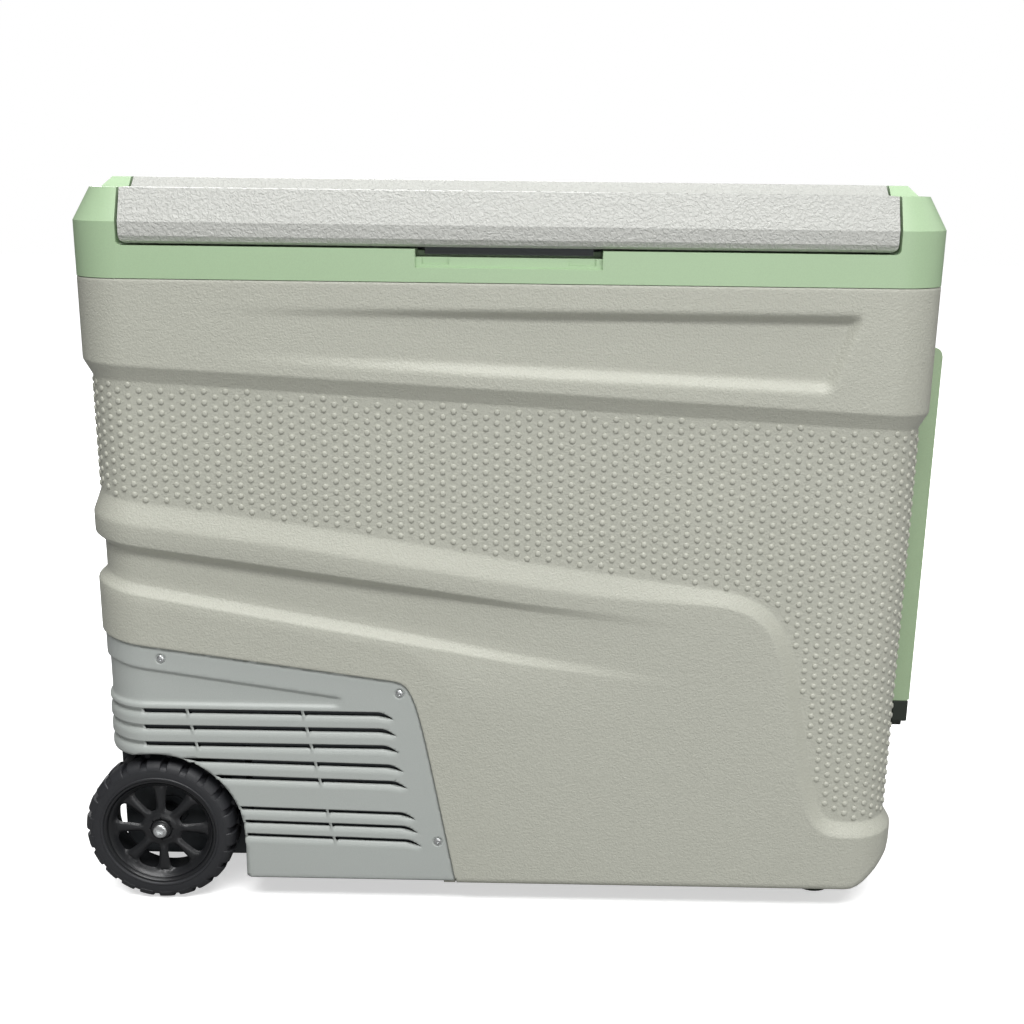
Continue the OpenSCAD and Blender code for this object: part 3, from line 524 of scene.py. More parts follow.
def buildDots():
    s = shellShape
    d = dotShape
    r = s["corner"] - s["inset"]
    straight = halfLength - s["corner"]
    endStraight = halfDepth - s["corner"]
    quarter = r * math.pi / 2
    lowest = offsetLine(ridgeLine, -d["ridgeGap"])
    lap = 4 * straight + 4 * endStraight + 4 * quarter
    count = 2 * round(lap / d["pitchX"] / 2)
    step = lap / count
    groups = {"bodyDotsFront": ([], []), "bodyDotsRear": ([], [])}
    plane = halfDepth - s["inset"]
    far = halfLength - s["inset"]
    for j in range(count):
        along = j * step
        legs = [(2 * straight, lambda t: (-straight + t, -plane, 0, -1)),
                (quarter, lambda t: (straight + r * math.sin(t / r), -endStraight - r * math.cos(t / r),
                                     math.sin(t / r), -math.cos(t / r))),
                (2 * endStraight, lambda t: (far, -endStraight + t, 1, 0)),
                (quarter, lambda t: (straight + r * math.cos(t / r), endStraight + r * math.sin(t / r),
                                     math.cos(t / r), math.sin(t / r))),
                (2 * straight, lambda t: (straight - t, plane, 0, 1)),
                (quarter, lambda t: (-straight - r * math.sin(t / r), endStraight + r * math.cos(t / r),
                                     -math.sin(t / r), math.cos(t / r))),
                (2 * endStraight, lambda t: (-far, endStraight - t, -1, 0)),
                (quarter, lambda t: (-straight - r * math.cos(t / r), -endStraight - r * math.sin(t / r),
                                     -math.cos(t / r), -math.sin(t / r)))]
        for length, place in legs:
            if along < length:
                break
            along -= length
        x, y, nx, ny = place(along)
        flatX = min(max(x, lineX[0]), lineX[-1])
        top = bandLine(flatX) - s["bandChamfer"] - d["bandGap"]
        bottom = np.interp(flatX, lineX, lowest)
        shift = 0.5 * (j % 2)
        for k in range(int(bottom / d["pitchZ"]), int(top / d["pitchZ"]) + 1):
            z = (k + shift) * d["pitchZ"]
            if bottom < z < top:
                target = groups["bodyDotsFront" if y < 0 else "bodyDotsRear"]
                target[0].append((x, y, z))
                target[1].append((nx, ny, 0))
    dome = domeShape("dotShape", d["radius"], d["height"], 10,
                     [(1.0, -0.2), (0.94, 0.25), (0.7, 0.8), (0.35, 0.97)])
    for name, (places, normals) in groups.items():
        settle(scatter(name, places, normals, dome, dotPlastic), "root", "body_plastic")
    lidLow, lidHigh = nodeBox("lid_outer")
    xs = np.arange(lidLow[0] + 50, lidHigh[0] - 8, 14.4)
    places = [(x, side * 173.5, 613.9) for side in (-1, 1) for x in xs]
    small = domeShape("pinShape", 1.5, 0.7, 8, [(1.0, -0.3), (0.8, 0.5), (0.4, 0.9)])
    settle(scatter("lidDots", places, [(0, 0, 1)] * len(places), small, lidPlastic), "lid", "lid_plastic")
    for shape in (dome, small):
        bpy.data.objects.remove(shape)


def softCopy(node, name, material, body, slotName, width=0.8, segments=2, angle=25, broad=None,
             broadWidth=2.0):
    source = nodes[node]
    mesh = source.data.copy()
    mesh.name = name
    work = bmesh.new()
    work.from_mesh(mesh)
    bmesh.ops.remove_doubles(work, verts=work.verts, dist=5e-6)
    bmesh.ops.dissolve_limit(work, angle_limit=math.radians(0.6), verts=work.verts, edges=work.edges)
    if broad:
        weight = work.edges.layers.float.new("bevel_weight_edge")
        for edge in work.edges:
            if len(edge.link_faces) != 2:
                continue
            if edge.calc_face_angle(0) < math.radians(angle):
                if not broad(edge):
                    continue
            edge[weight] = 1.0 if broad(edge) else width / broadWidth
    work.to_mesh(mesh)
    work.free()
    mesh.materials.clear()
    mesh.materials.append(material)
    for polygon in mesh.polygons:
        polygon.material_index = 0
        polygon.use_smooth = True
    if mesh.has_custom_normals:
        mesh.attributes.remove(mesh.attributes["custom_normal"])
    piece = bpy.data.objects.new(name, mesh)
    bpy.context.scene.collection.objects.link(piece)
    if broad:
        addModifier(piece, "BEVEL", width=broadWidth * mm, segments=3, limit_method="WEIGHT",
                    harden_normals=True, use_clamp_overlap=True)
    else:
        addModifier(piece, "BEVEL", width=width * mm, segments=segments, limit_method="ANGLE",
                    angle_limit=math.radians(angle), harden_normals=True, use_clamp_overlap=True)
    return settle(piece, body, slotName, node)


def insideLoop(points, loop):
    loop = np.asarray(loop, float)
    inside = np.zeros(len(points), bool)
    for a, b in zip(loop, np.roll(loop, -1, axis=0)):
        crosses = (a[1] > points[:, 1]) != (b[1] > points[:, 1])
        if a[1] != b[1]:
            at = (b[0] - a[0]) * (points[:, 1] - a[1]) / (b[1] - a[1]) + a[0]
            inside ^= crosses & (points[:, 0] < at)
    return inside


def nearLoop(points, loop, reach):
    a = np.asarray(loop, float)
    b = np.roll(a, -1, axis=0)
    near = np.zeros(len(points), bool)
    for p, q in zip(a, b):
        d = q - p
        t = np.clip(((points - p) @ d) / max(d @ d, 1e-9), 0, 1)
        near |= np.hypot(*(points - p - t[:, None] * d).T) < reach
    return near


def plateMesh(outline, holes, inner):
    loops = [np.asarray(outline, float)] + [np.asarray(h, float) for h in holes]
    verts, edges = [], []
    for loop in loops:
        first = len(verts)
        verts += [Vector(p) for p in loop]
        edges += [(first + i, first + (i + 1) % len(loop)) for i in range(len(loop))]
    verts += [Vector(p) for p in inner]
    coords, _, tris, _, _, _ = geometry.delaunay_2d_cdt(verts, edges, [], 0, 1e-6)
    coords = np.array([tuple(c) for c in coords])
    tris = np.array(tris)
    middle = coords[tris].mean(axis=1)
    keep = insideLoop(middle, loops[0])
    for hole in loops[1:]:
        keep &= ~insideLoop(middle, hole)
    a, b, c = (coords[tris[:, i]] for i in range(3))
    area = (b[:, 0] - a[:, 0]) * (c[:, 1] - a[:, 1]) - (b[:, 1] - a[:, 1]) * (c[:, 0] - a[:, 0])
    keep &= np.abs(area) > 1e-5
    tris = np.where((area > 0)[:, None], tris, tris[:, ::-1])
    return coords, tris[keep]


ventShape = dict(
    face=2.5,             # outer face inside the band plane
    wall=2.2,
    slots=[(184, 0, 4.6), (169, 0, 4.6), (153.5, 0, 4.6), (137.6, -0.018, 4.4), (122.4, -0.02, 4.4),
           (93.2, -0.022, 3.8), (80.4, -0.022, 3.8), (67.6, -0.024, 3.8)],   # top edge, slope, opening
    ends=[-92, -90, -88, -84, -81, -74, -72, -69],
    shoulder=5.2,         # height of the rounded slat top under each slot
    slatDepth=3.0,
    open=-306.0,          # the upper three slots are blind grooves from here round the corner
    archGap=2.0,          # wall between a slot and the wheel arch
    tail=14.0,            # length of the drooping slot end
    droop=7.0,
    ribs=[(-262, 0, 3), (-163.5, 0, 5), (-148.5, 5, 8)],   # x of a rib, first and last slot it crosses
    ribWidth=2.4,
    ribLean=0.21,
    archRadius=75.5,
    screws=[(-288, 229), (-87, 201), (-55, 63)],
)


def buildVentCover(name, side, node):
    v = ventShape
    s = shellShape
    r = s["corner"] - v["face"]
    straight = halfLength - s["corner"]
    quarter = r * math.pi / 2
    endS = -straight - quarter - (halfDepth - s["corner"]) + 0.3
    wheelLow, wheelHigh = nodeBox("wheel_hub_front")
    axleX = (wheelLow[0] + wheelHigh[0]) / 2
    axleZ = (wheelLow[2] + wheelHigh[2]) / 2

    def xAt(along):
        turn = np.clip((-straight - along) / r, 0, math.pi / 2)
        return np.where(along > -straight, along, -straight - r * np.sin(turn))

    def topAt(along):
        return np.interp(xAt(along), lineX, offsetLineCover)

    offsetLineCover = offsetLine(coverLine, 0.55)

    grooveEnd = -straight - quarter - 26

    def archAt(z):
        return axleX + math.sqrt(max(v["archRadius"] ** 2 - (z - axleZ) ** 2, 0))

    # outline, anticlockwise in (along, height)
    lowZ = floorHeight + 3
    outline = []
    startAngle = math.asin((60 - axleZ) / v["archRadius"])
    stopAngle = math.acos((-319 - axleX) / v["archRadius"])
    outline += [(x, lowZ) for x in np.linspace(-218.9, -40.5, 50)]
    top = [t for t in np.concatenate([np.arange(-40.2, -90, -0.9), np.arange(-90, endS, -3.5)])]
    outline += [(t, float(topAt(np.array(t)))) for t in top if float(topAt(np.array(t))) > lowZ + 0.4]
    endTop = float(topAt(np.array(endS)))
    archTop = axleZ + v["archRadius"] * math.sin(stopAngle)
    outline += [(endS, z) for z in np.linspace(endTop, archTop + 0.4, 34)]
    reach = -straight - r * math.asin((319 - straight) / r)
    outline += [(t, archTop) for t in np.arange(endS + 3, reach - 2, 3.5)]
    for a in np.linspace(stopAngle, startAngle, 70):
        x = axleX + v["archRadius"] * math.cos(a)
        z = axleZ + v["archRadius"] * math.sin(a)
        along = x if x > -straight else -straight - r * math.asin(min((-straight - x) / r, 1))
        outline.append((along, z))
    outline += [(-222.9, z) for z in np.linspace(57, lowZ + 4, 14)]
    outline += [(-218.9 - 4 * math.cos(a), lowZ + 4 - 4 * math.sin(a))
                for a in np.linspace(0, np.pi / 2, 7)[1:-1]]
    outline = np.array(outline)

    # slots, cut into pieces by the ribs; each returns top and bottom heights along its run
    columns = np.arange(-18, -400, -3.0)
    holes, slotInfo = [], []
    for index, (topZ, slope, gap) in enumerate(v["slots"]):
        end = v["ends"][index]
        begin = v["open"] if index < 3 else archAt(topZ - gap) + v["archGap"]

        def edges(along, topZ=topZ, slope=slope, gap=gap, end=end):
            line = topZ + slope * (np.clip(along, -290, 0) + 200)
            t = np.clip((along - (end - v["tail"])) / v["tail"], 0, 1)
            return line - v["droop"] * t ** 1.8, line - gap - (v["droop"] - gap) * t ** 1.05

        slotInfo.append((edges, begin, end, index))
        cuts = [x for x, first, last in v["ribs"] if first <= index < last]
        runs, left = [], begin
        for cut in sorted(cuts):
            at = cut + v["ribLean"] * (153.5 - topZ) * (1 if cut < -150 else 0.0)
            if cut > -150:
                at = cut + v["ribLean"] * (80 - topZ)
            runs.append((left, at - v["ribWidth"] / 2))
            left = at + v["ribWidth"] / 2
        runs.append((left, end))
        if index < 3:
            wrap = grooveEnd
            last = endS + 9
            thirds = np.linspace(last, wrap, 4)
            runs += [(a + 1.3, b - 1.3) for a, b in zip(thirds[:-1], thirds[1:])]
        for a, b in runs:
            inner = columns[(columns > a + 1.4) & (columns < b - 1.0)]
            xs = np.concatenate([[a], np.sort(inner), [b]])
            if b == end:
                xs = np.unique(np.concatenate([xs, end - v["tail"] * np.array([0.8, 0.6, 0.4, 0.25, 0.12])]))
            up, down = edges(xs)
            lean = v["ribLean"] * (up - down)
            loop = [(x, z) for x, z in zip(xs, down)]
            upper = [(x, z) for x, z in zip(xs, up)]
            if index >= 3 and a == begin:
                upper[0] = (archAt(float(up[0])) + v["archGap"], float(up[0]))
            else:
                loop[0] = (xs[0] + lean[0], down[0])
            if b == end:
                loop = loop[:-1] + [(end, float(down[-1]))]
                upper = upper[:-1]
            else:
                loop[-1] = (xs[-1] + lean[-1], down[-1])
            holes.append(np.array(loop + upper[::-1]))

    # recessed wedge under the top edge
    def wedgeTop(along):
        return 224 - 0.143 * (np.clip(along, -330, 0) + 326)

    def wedgeDepth(along, z):
        cut = 1 - smoothStep(-2.6, 0.4, z - wedgeTop(along))
        ledge = smoothStep(186.6, 190.2, z)
        tip = 1 - smoothStep(-142, -135, along + 0.25 * np.abs(z - 195))
        endFade = smoothStep(endS + 4, endS + 12, along)
        return 2.4 * cut * ledge * tip * endFade

    def slatDepth(along, z):
        deep = np.zeros_like(z)
        for edges, begin, end, index in slotInfo:
            up, down = edges(along)
            t = (down - z) / v["shoulder"]
            low = endS + 9 if index < 3 else begin - 9
            fade = smoothStep(low, low + 5, along) * (1 - smoothStep(end - 7, end + 1, along))
            quarter = 1 - np.sqrt(np.clip(1 - (1 - np.clip(t, 0, 1)) ** 2, 0, 1))
            curve = np.where((t >= -0.02) & (t < 1), quarter, 0)
            blind = (index < 3) & (along < begin - 0.5) & (along > grooveEnd) & (t < 0)
            curve = np.where(blind, 1 - smoothStep(-0.45, 0.05, z - up), curve)
            rib = np.ones_like(z)
            for cut, first, last in v["ribs"]:
                if first <= index < last:
                    origin = 153.5 if cut < -150 else 80
                    at = cut + v["ribLean"] * (origin - z)
                    rib *= smoothStep(0.9, 1.7, np.abs(along - at))
            deep = np.maximum(deep, v["slatDepth"] * curve * fade * rib)
        return deep

    # inner points: columns of the grid, rows that follow each slat shoulder
    inner = []
    for along in columns[columns > endS + 1.5]:
        here = np.array(along)
        zs = list(np.arange(lowZ + 1.6, float(topAt(here)) - 1, 2.6))
        for edges, begin, end, index in slotInfo:
            if (begin if index >= 3 else endS + 6) < along < end + 3:
                up, down = edges(here)
                zs = [z for z in zs if not down - v["shoulder"] - 1.2 < z < up + 1.2]
                zs += [down - v["shoulder"] * t for t in (0.05, 0.14, 0.28, 0.46, 0.7, 1.0, 1.12)]
                zs += [up + 0.9]
                if index < 3 and grooveEnd - 1.5 < along < begin - 1:
                    zs += [up + 0.15, up - 0.12, up - 0.35, up - 0.6, (up + down) / 2, down + 0.4]
        wedge = float(wedgeTop(here))
        if along < -126 and wedge > 192:
            zs = [z for z in zs if not wedge - 3.4 < z < wedge + 1.2 and not 185.8 < z < 191]
            zs += [wedge + 0.6, wedge - 0.3, wedge - 1.4, wedge - 2.6, wedge - 3.2]
            zs += [190.4, 189.4, 188.3, 187.3, 186.4]
        inner += [(along, float(z)) for z in zs]
    for cut, first, last in v["ribs"]:
        for index in range(first, last):
            edges = slotInfo[index][0]
            origin = 153.5 if cut < -150 else 80
            up, down = edges(np.array(float(cut)))
            for t in (0.0, 0.15, 0.4, 0.8):
                z = float(down) - v["shoulder"] * t
                at = cut + v["ribLean"] * (origin - z)
                inner += [(at + k, z) for k in (-1.8, -1.0, 0.0, 1.0, 1.8)]
    for sx, sz in v["screws"]:
        for ring in (2.0, 3.6, 4.3, 4.9, 5.6):
            inner += [(sx + ring * math.cos(a), sz + ring * math.sin(a))
                      for a in np.linspace(0, 2 * np.pi, 17)[:-1]]
    inner = np.array(inner)
    keep = insideLoop(inner, outline) & ~nearLoop(inner, outline, 1.0)
    for hole in holes:
        keep &= ~insideLoop(inner, hole) & ~nearLoop(inner, hole, 0.22)
    for sx, sz in v["screws"]:
        away = np.hypot(inner[:, 0] - sx, inner[:, 1] - sz)
        ringPoint = np.min([np.abs(away - q) for q in (2.0, 3.6, 4.3, 4.9, 5.6)], axis=0) < 0.01
        keep &= (away > 6.2) | ringPoint
    inner = inner[keep]
    inner = np.unique(np.round(inner, 3), axis=0)
    coords, tris = plateMesh(outline, holes, inner)
    along, z = coords[:, 0], coords[:, 1]
    depth = v["face"] + slatDepth(along, z) + wedgeDepth(along, z)
    depth += 0.55 * nearLoop(coords, outline, 0.05)
    for sx, sz in v["screws"]:
        away = np.hypot(along - sx, z - sz)
        depth += 1.1 * (1 - smoothStep(4.0, 4.7, away))
    turn = np.clip((-straight - along) / r, 0, math.pi / 2)
    onEnd = np.maximum((-straight - along) - quarter, 0)
    nx, ny = -np.sin(turn), -np.cos(turn)
    baseX = np.where(along > -straight, along, -straight - r * np.sin(turn))
    baseY = np.where(along > -straight, -halfDepth + v["face"],
                     -halfDepth + s["corner"] - r * np.cos(turn) + onEnd)
    extra = depth - v["face"]
    points = np.stack([baseX - nx * extra, baseY - ny * extra, z], axis=1)
    if side > 0:
        points[:, 1] *= -1
        tris = tris[:, ::-1]
    piece = makeMesh(name, points, tris, ventPlastic)
    addModifier(piece, "SOLIDIFY", thickness=v["wall"] * mm, offset=-1.0)
    return settle(piece, "root", "vent_plastic", node)


# pan head with a cross recess, its face looking along the local Z axis
def screwHead(name, radius, height, slotWidth, slotDepth, material):
    sides = 24
    profile = [(1.0, -0.6), (1.0, 0.25), (0.93, 0.62), (0.75, 0.88), (0.5, 1.0)]
    turns = [2 * math.pi * k / sides for k in range(sides)]
    points = [(radius * share * math.cos(turn), radius * share * math.sin(turn), height * lift)
              for share, lift in profile for turn in turns]
    faces = []
    for ring in range(len(profile) - 1):
        for k in range(sides):
            n = (k + 1) % sides
            faces.append((ring * sides + k, ring * sides + n, (ring + 1) * sides + n, (ring + 1) * sides + k))
    top = (len(profile) - 1) * sides
    base = len(points)
    half = slotWidth / 2
    arm = radius * 0.42
    cross = [(arm, -half), (arm, half), (half, half), (half, arm), (-half, arm), (-half, half),
             (-arm, half), (-arm, -half), (-half, -half), (-half, -arm), (half, -arm), (half, -half)]
    points += [(x, y, height) for x, y in cross]
    points += [(x * 0.8, y * 0.8, height - slotDepth) for x, y in cross]
    work = bmesh.new()
    verts = [work.verts.new(np.array(p) * mm) for p in points]
    for face in faces:
        work.faces.new([verts[i] for i in face])
    rim = [work.edges.get((verts[top + k], verts[top + (k + 1) % sides])) for k in range(sides)]
    inner = [work.edges.new((verts[base + k], verts[base + (k + 1) % 12])) for k in range(12)]
    bmesh.ops.triangle_fill(work, edges=rim + inner, use_beauty=True)
    for k in range(12):
        n = (k + 1) % 12
        work.faces.new([verts[base + k], verts[base + 12 + k], verts[base + 12 + n], verts[base + n]])
    work.faces.new([verts[base + 12 + k] for k in range(12)])
    work.faces.new([verts[k] for k in reversed(range(sides))])
    bmesh.ops.recalc_face_normals(work, faces=work.faces)
    mesh = bpy.data.meshes.new(name)
    work.to_mesh(mesh)
    work.free()
    mesh.materials.append(material)
    shape = bpy.data.objects.new(name, mesh)
    bpy.context.scene.collection.objects.link(shape)
    shape.hide_render = True
    return shape


def buildCoverScrews():
    head = screwHead("screwShape", 3.5, 1.9, 0.95, 1.2, zincScrew)
    v = ventShape
    face = halfDepth - v["face"] - 1.1
    places = [(x, side * face, z) for side in (-1, 1) for x, z in v["screws"]]
    normals = [(0, side, 0) for side in (-1, 1) for _ in v["screws"]]
    piece = scatter("coverScrews", places, normals, head, zincScrew)
    settle(piece, "root", "steel", "cover_screws")
    bpy.data.objects.remove(head)
    flatShade(piece, 32)


def flatShade(piece, angle):
    work = bmesh.new()
    work.from_mesh(piece.data)
    for edge in work.edges:
        edge.smooth = len(edge.link_faces) == 2 and edge.calc_face_angle(0) < math.radians(angle)
    work.to_mesh(piece.data)
    work.free()


wheelShape = dict(
    spokes=8, face=-194.6, spokeFace=-187.6, bossFace=-189.0, boss=12.2, window=(17.6, 41.0),
    windowInner=3.6, windowOuter=10.6, rimRadius=49.6, wall=5.0, lugs=22, lugTurn=11.6,
)


# closed ring turned about the wheel axis from a closed (radius, y) outline
def lathe(name, outline, centre, material, steps=96):
    outline = np.array(outline, float)
    count = len(outline)
    points = []
    for k in range(steps):
        a = 2 * math.pi * k / steps
        points += [(centre[0] + q * math.cos(a), y, centre[2] + q * math.sin(a)) for q, y in outline]
    faces = []
    for k in range(steps):
        n = (k + 1) % steps
        for i in range(count):
            j = (i + 1) % count
            faces.append((k * count + i, n * count + i, n * count + j, k * count + j))
    piece = makeMesh(name, points, faces, material)
    work = bmesh.new()
    work.from_mesh(piece.data)
    bmesh.ops.recalc_face_normals(work, faces=work.faces)
    work.to_mesh(piece.data)
    work.free()
    return piece


# a group that repeats its input round an axis along Y and joins the seams
def turnTree(name, material):
    tree = bpy.data.node_groups.new(name, "GeometryNodeTree")
    tree.interface.new_socket("Geometry", in_out="INPUT", socket_type="NodeSocketGeometry")
    number = tree.interface.new_socket("Count", in_out="INPUT", socket_type="NodeSocketInt")
    middle = tree.interface.new_socket("Centre", in_out="INPUT", socket_type="NodeSocketVector")
    tree.interface.new_socket("Geometry", in_out="OUTPUT", socket_type="NodeSocketGeometry")
    start = addNode(tree, "NodeGroupInput")
    back = addNode(tree, "ShaderNodeVectorMath", {"operation": "SCALE"},
                   {0: start.outputs["Centre"], "Scale": -1.0})
    centred = addNode(tree, "GeometryNodeTransform", None,
                      {"Geometry": start.outputs["Geometry"], "Translation": back.outputs[0]})
    line = addNode(tree, "GeometryNodeMeshLine", {"mode": "OFFSET"},
                   {"Count": start.outputs["Count"], "Start Location": start.outputs["Centre"],
                    "Offset": (0.0, 0.0, 0.0)})
    points = addNode(tree, "GeometryNodeMeshToPoints", None, {"Mesh": line.outputs["Mesh"]})
    index = addNode(tree, "GeometryNodeInputIndex")
    part = addNode(tree, "ShaderNodeMath", {"operation": "DIVIDE"},
                   {0: index.outputs[0], 1: start.outputs["Count"]})
    first = math.pi / wheelShape["spokes"]
    angle = addNode(tree, "ShaderNodeMath", {"operation": "MULTIPLY_ADD"},
                    {0: part.outputs[0], 1: 2 * math.pi, 2: first})
    spin = addNode(tree, "ShaderNodeCombineXYZ", None, {"Y": angle.outputs[0]})
    ring = addNode(tree, "GeometryNodeInstanceOnPoints", None,
                   {"Points": points.outputs["Points"], "Instance": centred.outputs["Geometry"],
                    "Rotation": spin.outputs["Vector"]})
    real = addNode(tree, "GeometryNodeRealizeInstances", None, {"Geometry": ring.outputs["Instances"]})
    weld = addNode(tree, "GeometryNodeMergeByDistance", None,
                   {"Geometry": real.outputs["Geometry"], "Distance": 0.00002})
    paint = addNode(tree, "GeometryNodeSetMaterial", None,
                    {"Geometry": weld.outputs["Geometry"], "Material": material})
    addNode(tree, "NodeGroupOutput", None, {"Geometry": paint.outputs["Geometry"]})
    return tree, number.identifier, middle.identifier


def repeatRound(piece, count, centre, material):
    tree, countId, centreId = turnTree(piece.name + "Tree", material)
    modifier = piece.modifiers.new("Turn", "NODES")
    modifier.node_group = tree
    modifier[countId] = count
    modifier[centreId] = tuple(np.array(centre) * mm)
    return bakeModifiers(piece)


def joinPieces(name, parts):
    work = bmesh.new()
    for part in parts:
        work.from_mesh(part.data)
    material = parts[0].data.materials[0]
    for part in parts:
        bpy.data.objects.remove(part)
    mesh = bpy.data.meshes.new(name)
    work.to_mesh(mesh)
    work.free()
    mesh.materials.append(material)
    piece = bpy.data.objects.new(name, mesh)
    bpy.context.scene.collection.objects.link(piece)
    return piece


def mirrorY(piece):
    piece.data.transform(Matrix.Scale(-1, 4, (0, 1, 0)))
    piece.data.flip_normals()
    return piece


def buildSpokes(name, centre):
    w = wheelShape
    half = math.pi / w["spokes"]
    r0, r1 = w["boss"] - 5.6, w["rimRadius"] - 4.0
    outline = [(r0, a) for a in np.linspace(-half, half, 9)[:-1]]
    outline += [(r, half) for r in np.linspace(r0, r1, 16)[:-1]]
    outline += [(r1, a) for a in np.linspace(half, -half, 17)[:-1]]
    outline += [(r, -half) for r in np.linspace(r1, r0, 16)[:-1]]
    low, high = w["window"]
    window = []
    for t in np.linspace(0, 2 * math.pi, 41)[:-1]:
        c, q = math.cos(t), math.sin(t)
        c = math.copysign(abs(c) ** 0.5, c)
        q = math.copysign(abs(q) ** 0.5, q)
        radius = (low + high) / 2 + (high - low) / 2 * c
        share = (radius - low) / (high - low)
        wide = w["windowInner"] + (w["windowOuter"] - w["windowInner"]) * share
        window.append((radius, q * wide / radius))

    def toFlat(spots):
        return np.array([(r * math.cos(a), r * math.sin(a)) for r, a in spots])

    flatOutline, flatWindow = toFlat(outline), toFlat(window)[::-1]
    rings = np.linspace(r0, r1, 26)
    inner = toFlat([(r, a) for r in rings[1:-1]
                    for a in np.linspace(-half, half, 2 * int(3 + r * 0.16) + 1)[1:-1]])
    lip = toFlat([(r + (r - 29) * 0.09, a * 1.16) for r, a in window])
    inner = np.concatenate([inner, lip])
    keep = insideLoop(inner, flatOutline) & ~insideLoop(inner, flatWindow)
    keep &= ~nearLoop(inner, flatOutline, 0.5) & ~nearLoop(inner, flatWindow, 0.45)
    coords, tris = plateMesh(flatOutline, [flatWindow], inner[keep])
    radius = np.hypot(coords[:, 0], coords[:, 1])
    angle = np.abs(np.arctan2(coords[:, 1], coords[:, 0]))
    y = np.full(len(coords), w["spokeFace"])
    y += (w["bossFace"] - w["spokeFace"]) * (1 - smoothStep(w["boss"] - 0.6, w["boss"] + 1.6, radius))
    y += 2.6 * (1 - smoothStep(8.8, 9.8, radius))
    y += (w["face"] + 1.8 - w["spokeFace"]) * smoothStep(40.5, 45.6, radius)
    y += 1.3 * (1 - smoothStep(0.0, 2.2, nearDistance(coords, flatWindow)))
    alongSpoke = smoothStep(15, 20, radius) * (1 - smoothStep(38, 42, radius))
    y -= 1.1 * smoothStep(0.55 * half, half, angle) * alongSpoke
    points = np.stack([centre[0] + coords[:, 0], y, centre[2] + coords[:, 1]], axis=1)
    piece = makeMesh(name, points, tris, wheelPlastic)
    repeatRound(piece, w["spokes"], centre, wheelPlastic)
    work = bmesh.new()
    work.from_mesh(piece.data)
    bmesh.ops.recalc_face_normals(work, faces=work.faces)
    work.to_mesh(piece.data)
    work.free()
    if sum(p.normal.y * p.area for p in piece.data.polygons) > 0:
        piece.data.flip_normals()
    piece.data.polygons.foreach_set("use_smooth", [True] * len(piece.data.polygons))
    addModifier(piece, "SOLIDIFY", thickness=w["wall"] * mm, offset=-1.0)
    return bakeModifiers(piece)


# socket-head screws in the ends of the axle, each on a dark washer
axleScrewShape = dict(washer=8.4, washerFace=-190.5, head=6.4, headFace=-194.9, socket=3.0, socketDepth=2.8)


def buildAxleScrews():
    a = axleScrewShape
    low, high = nodeBox("wheel_hub_front")
    centre = ((low[0] + high[0]) / 2, 0, (low[2] + high[2]) / 2)
    face, root = a["headFace"], a["washerFace"]
    heads, washers = [], []
    for tag, side in (("Front", -1), ("Rear", 1)):
        rings = [(a["head"], root + 0.3), (a["head"], face + 1.6), (a["head"] - 0.4, face + 0.7),
                 (a["head"] - 1.1, face + 0.15), (a["head"] - 2.0, face)]
        sides = 48
        points, faces = [], []
        for radius, y in rings:
            points += [(radius, 2 * math.pi * k / sides, y) for k in range(sides)]
        for y in (face, face + a["socketDepth"]):
            for k in range(sides):
                turn = 2 * math.pi * k / sides
                points.append((a["socket"] / math.cos((turn % (math.pi / 3)) - math.pi / 6), turn, y))
        for ring in range(len(rings) + 1):
            for k in range(sides):
                n = (k + 1) % sides
                here, above = ring * sides, (ring + 1) * sides
                faces.append((here + k, here + n, above + n, above + k))
        faces.append(tuple(range(sides)))
        faces.append(tuple(reversed(range((len(rings) + 1) * sides, (len(rings) + 2) * sides))))
        points = [(centre[0] + q * math.cos(t), y, centre[2] + q * math.sin(t)) for q, t, y in points]
        head = makeMesh("head" + tag, points, faces, zincScrew)
        work = bmesh.new()
        work.from_mesh(head.data)
        bmesh.ops.recalc_face_normals(work, faces=work.faces)
        work.to_mesh(head.data)
        work.free()
        washer = lathe("washer" + tag, [
            (a["head"] - 2, root + 1.4), (a["head"] - 2, root), (a["washer"] - 0.3, root),
            (a["washer"], root + 0.3), (a["washer"], root + 1.4)], centre, wheelPlastic, 48)
        if side > 0:
            mirrorY(head)
            mirrorY(washer)
        heads.append(head)
        washers.append(washer)
    screws = joinPieces("axleScrewHeads", heads)
    rings = joinPieces("axleWashers", washers)
    for piece in (screws, rings):
        piece.data.polygons.foreach_set("use_smooth", [True] * len(piece.data.polygons))
        flatShade(piece, 32)
    settle(screws, "root", "steel", "axle_screws")
    settle(rings, "root", "chassis_plastic")


# tray behind each finger notch, under the latch
notchFloorShape = dict(ends=(-71.0, 74.0), depth=(7.8, 26.0), height=(561.5, 567.2), wall=1.4)


def buildNotchFloors():
    c = notchFloorShape
    low, high = c["height"]
    near, far = (distance - halfDepth for distance in c["depth"])
    left, right = c["ends"]
    corners = ((left, near), (right, near), (right, far), (left, far))
    trays = []
    for tag, side in (("Front", -1), ("Rear", 1)):
        points = [(x, y, z) for z in (low, high) for x, y in corners]
        tray = makeMesh("notchFloor" + tag, points, [(0, 1, 2, 3), (0, 3, 7, 4), (3, 2, 6, 7), (2, 1, 5, 6)],
                        greenPlastic, False)
        addModifier(tray, "SOLIDIFY", thickness=c["wall"] * mm, offset=-1.0)
        bakeModifiers(tray)
        if side > 0:
            mirrorY(tray)
        trays.append(tray)
    settle(joinPieces("notchFloors", trays), "root", "green_plastic")
